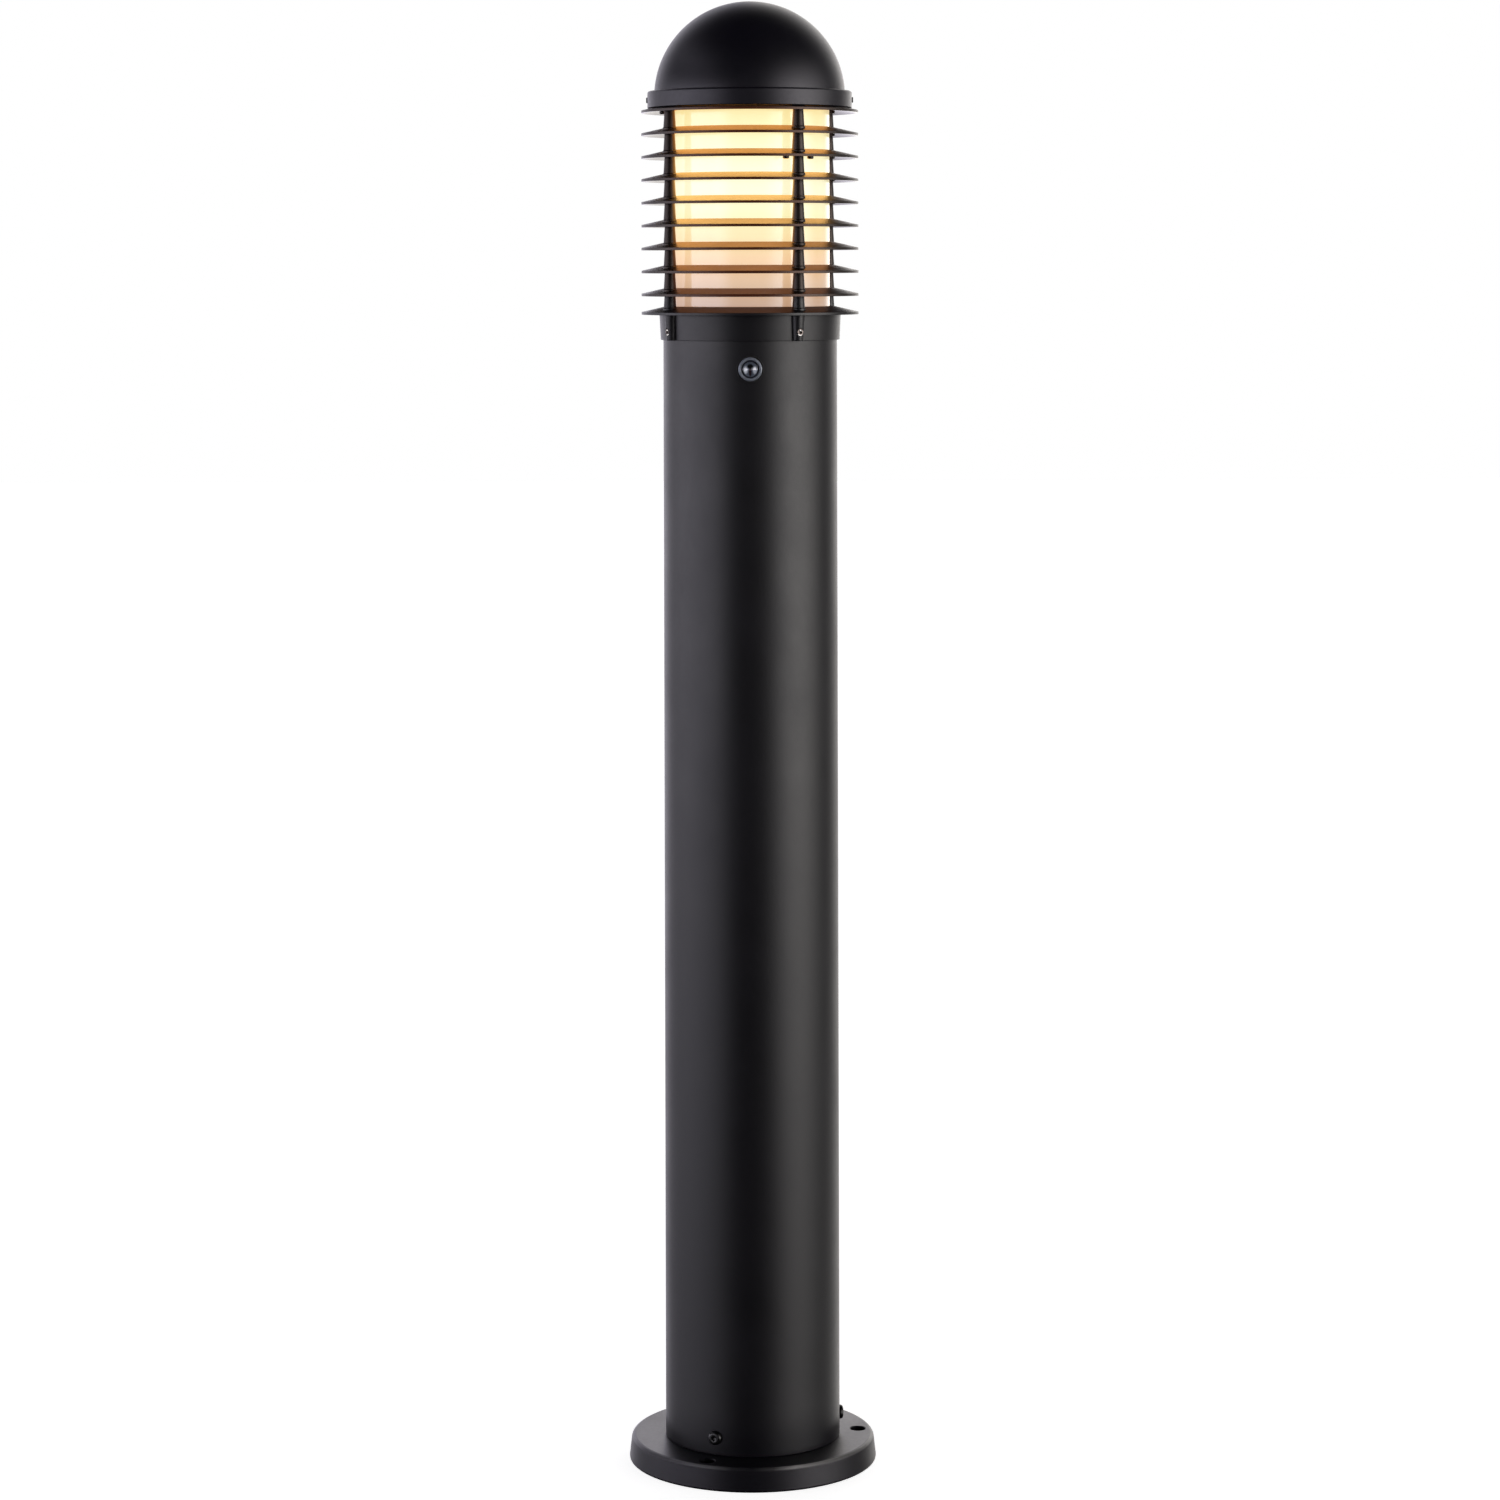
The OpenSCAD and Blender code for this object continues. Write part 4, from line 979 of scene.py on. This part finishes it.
# ---------------------------------------------------------------- leads
leads = []
for k in range(3):
    x0, x1 = (-3, 0, 3)[k], (-4.5, 4.5, 13.5)[k]
    leads.append(tube("l", [(x0, -42, CELL_Z), (x0, -32, CELL_Z), (x1, -22, CELL_Z - 12), (x1, -17, 712), (x1, -8, 700), (x1, 5, 699), (x1, 12, 705), (x1, 12, 718)], 0.9))
done(join("photocell_lead_set", leads), "photocell_leads", M["lead_black"], angle=60)
done(tube("lamp_live_lead", [(13.5, 12, 724), (13.5, 12, 740), (10, 11, 756), (3, 8.5, 774), (1.7, 7.5, 781), (1.7, 7.5, 795)], 1.3), "lamp_lead_live", M["lead_brown"], angle=60)
done(tube("lamp_neutral_lead", [(-4.5, 12, 724), (-4.5, 12, 742), (-3.4, 10.4, 760), (-1.7, 7.5, 779), (-1.7, 7.5, 795)], 1.3), "lamp_lead_neutral", M["lead_blue"], angle=60)
done(tube("earth_wire_lead", [(-13.5, 12, 724), (-13.5, 12, 737), (-13.5, 15.3, 745.5), (-13.5, 15.8, 750), (-13.5, 15.8, 754)], 1.3, stripe=(0, 1, 2, 8, 9, 10)), "earth_lead", [M["lead_green"], M["lead_yellow"]], angle=60)

# ---------------------------------------------------------------- the remaining CAD nodes keep their shape and get the real finish
for n, ob in NODES.items():
    if ob.hide_render:
        continue
    ob.data.materials.clear()
    ob.data.materials.append(M[SLOT_OF[n]])
    for p in ob.data.polygons:
        p.use_smooth = True
    ob.data.set_sharp_from_angle(angle=math.radians(30))

# ---------------------------------------------------------------- stage
bm = bmesh.new()
bmesh.ops.create_grid(bm, x_segments=4, y_segments=4, size=12.0)
floor = obj_from_bm("floor", bm)
m, nt, p = new_mat("floor_paper")
for nn in list(nt.nodes):
    if nn.type != "OUTPUT_MATERIAL":
        nt.nodes.remove(nn)
out = nt.nodes["Material Output"]
dif_n = node(nt, "ShaderNodeBsdfDiffuse")
dif_n.inputs["Color"].default_value = (0.80, 0.80, 0.80, 1)
emi = node(nt, "ShaderNodeEmission")
emi.inputs["Color"].default_value = (1, 1, 1, 1)
emi.inputs["Strength"].default_value = 0.86
add = nt.nodes.new("ShaderNodeAddShader")
nt.links.new(dif_n.outputs[0], add.inputs[0])
nt.links.new(emi.outputs[0], add.inputs[1])
nt.links.new(add.outputs[0], out.inputs["Surface"])
floor.data.materials.append(m)
floor.visible_glossy = False
floor.visible_diffuse = False
floor.visible_transmission = False

# world: white wall behind, one wide and one narrow softbox, a dark room on the camera's side
world = bpy.data.worlds.new("studio")
bpy.context.scene.world = world
world.use_nodes = True
nt = world.node_tree
for nn in list(nt.nodes):
    nt.nodes.remove(nn)
L = nt.links.new
tc = node(nt, "ShaderNodeTexCoord")
sep = node(nt, "ShaderNodeSeparateXYZ")
L(tc.outputs["Generated"], sep.inputs[0])
X, Y, Z = sep.outputs
az = math_n(nt, "MULTIPLY", math_n(nt, "ARCTAN2", X, math_n(nt, "MULTIPLY", Y, -1.0)), 180 / math.pi)
el = math_n(nt, "MULTIPLY", math_n(nt, "ARCSINE", Z), 180 / math.pi)


def window(val, lo, hi, s1, s2):
    """1 between lo and hi, with soft edges of half-widths s1 and s2."""
    return math_n(nt, "MULTIPLY", map_range(nt, val, lo - s1, lo + s1, 0, 1, True), map_range(nt, val, hi - s2, hi + s2, 1, 0, True))


absaz = math_n(nt, "ABSOLUTE", az)
# bearing from, to, edge, edge (0 = behind the camera, + = right); height from, to, edge, edge; strength
PANELS = [
    (az, 37.6, 89.3, 19.6, 25, -8.9, 13.4, 1.6, 23.5, 5.97),      # right softbox
    (az, -113, -35.4, 25, 15.5, -6.0, 7.5, 3.3, 1.6, 3.36),       # left softbox
    (az, -119, -55, 3.4, 25, 25.4, 32.4, 1.8, 21.4, 1.34),        # upper left bounce
    (absaz, 138.6, 400, 25, 1, -16.6, 32, 25, 25, 1.70),          # white sweep behind
    (az, -127, -61, 12, 25, -19, -11.4, 1.6, 21.9, 1.11),         # sweep on the left, low
    (az, -155, -127, 8.8, 12, -8, -11.4, 9, 21.9, 1.3),           # the same further back, gone near the floor
    (az, 105, 190, 15, 2, -30, -12.5, 5, 3.5, 0.5),               # floor on the right, behind
    (az, 143.6, 185, 5.7, 2.7, -3.3, 33.8, 2.8, 25, 0.78),        # brighter sweep on the right
    (az, -83, 70, 4, 5, -2.1, 9.8, 1.6, 4.8, 0.32),               # dim room on the camera's side
]
total = 0.004
for v, a0_, a1_, s1_, s2_, e0_, e1_, t1_, t2_, amp in PANELS:
    w = math_n(nt, "MULTIPLY", window(v, a0_, a1_, s1_, s2_), window(el, e0_, e1_, t1_, t2_))
    total = math_n(nt, "ADD", math_n(nt, "MULTIPLY", w, amp), total)
tint = mix_rgb(nt, map_range(nt, az, -60, 60, 0, 1), (0.99, 0.955, 1.07), (1.03, 0.995, 0.965))
bgl = node(nt, "ShaderNodeBackground")
L(tint, bgl.inputs["Color"])
L(total, bgl.inputs["Strength"])
bgc = node(nt, "ShaderNodeBackground")
bgc.inputs["Color"].default_value = (1, 1, 1, 1)
bgc.inputs["Strength"].default_value = 1.0
lp = node(nt, "ShaderNodeLightPath")
mx = nt.nodes.new("ShaderNodeMixShader")
L(lp.outputs["Is Camera Ray"], mx.inputs[0])
L(bgl.outputs[0], mx.inputs[1])
L(bgc.outputs[0], mx.inputs[2])
wo = nt.nodes.new("ShaderNodeOutputWorld")
L(mx.outputs[0], wo.inputs["Surface"])

# ---------------------------------------------------------------- camera: level, at standing height, with a dropped lens
cam_data = bpy.data.cameras.new("cam")
cam = bpy.data.objects.new("cam", cam_data)
bpy.context.scene.collection.objects.link(cam)
cam.location = (0.0, -2.697, 0.824)
cam.rotation_euler = (math.radians(90), math.radians(0.14), 0)
cam_data.sensor_width = 36.0
cam_data.lens = 93.6
cam_data.clip_start, cam_data.clip_end = 0.05, 60.0
# the lens shift belongs to this standpoint only: it is zero when the camera stands anywhere else
d = cam_data.driver_add("shift_y").driver
d.type = "SCRIPTED"
for name, path in (("x", "location.x"), ("y", "location.y"), ("z", "location.z")):
    v = d.variables.new()
    v.name = name
    v.type = "SINGLE_PROP"
    v.targets[0].id = cam
    v.targets[0].data_path = path
d.expression = "-0.3248 if abs(x) + abs(y + 2.697) + abs(z - 0.824) < 0.001 else 0.0"
bpy.context.scene.camera = cam

sc = bpy.context.scene
sc.view_settings.view_transform = "Standard"
sc.view_settings.look = "None"
sc.cycles.use_denoising = True
sc.cycles.max_bounces = 8
sc.cycles.diffuse_bounces = 3
sc.cycles.glossy_bounces = 4
sc.cycles.sample_clamp_indirect = 6.0

bpy.context.view_layer.update()
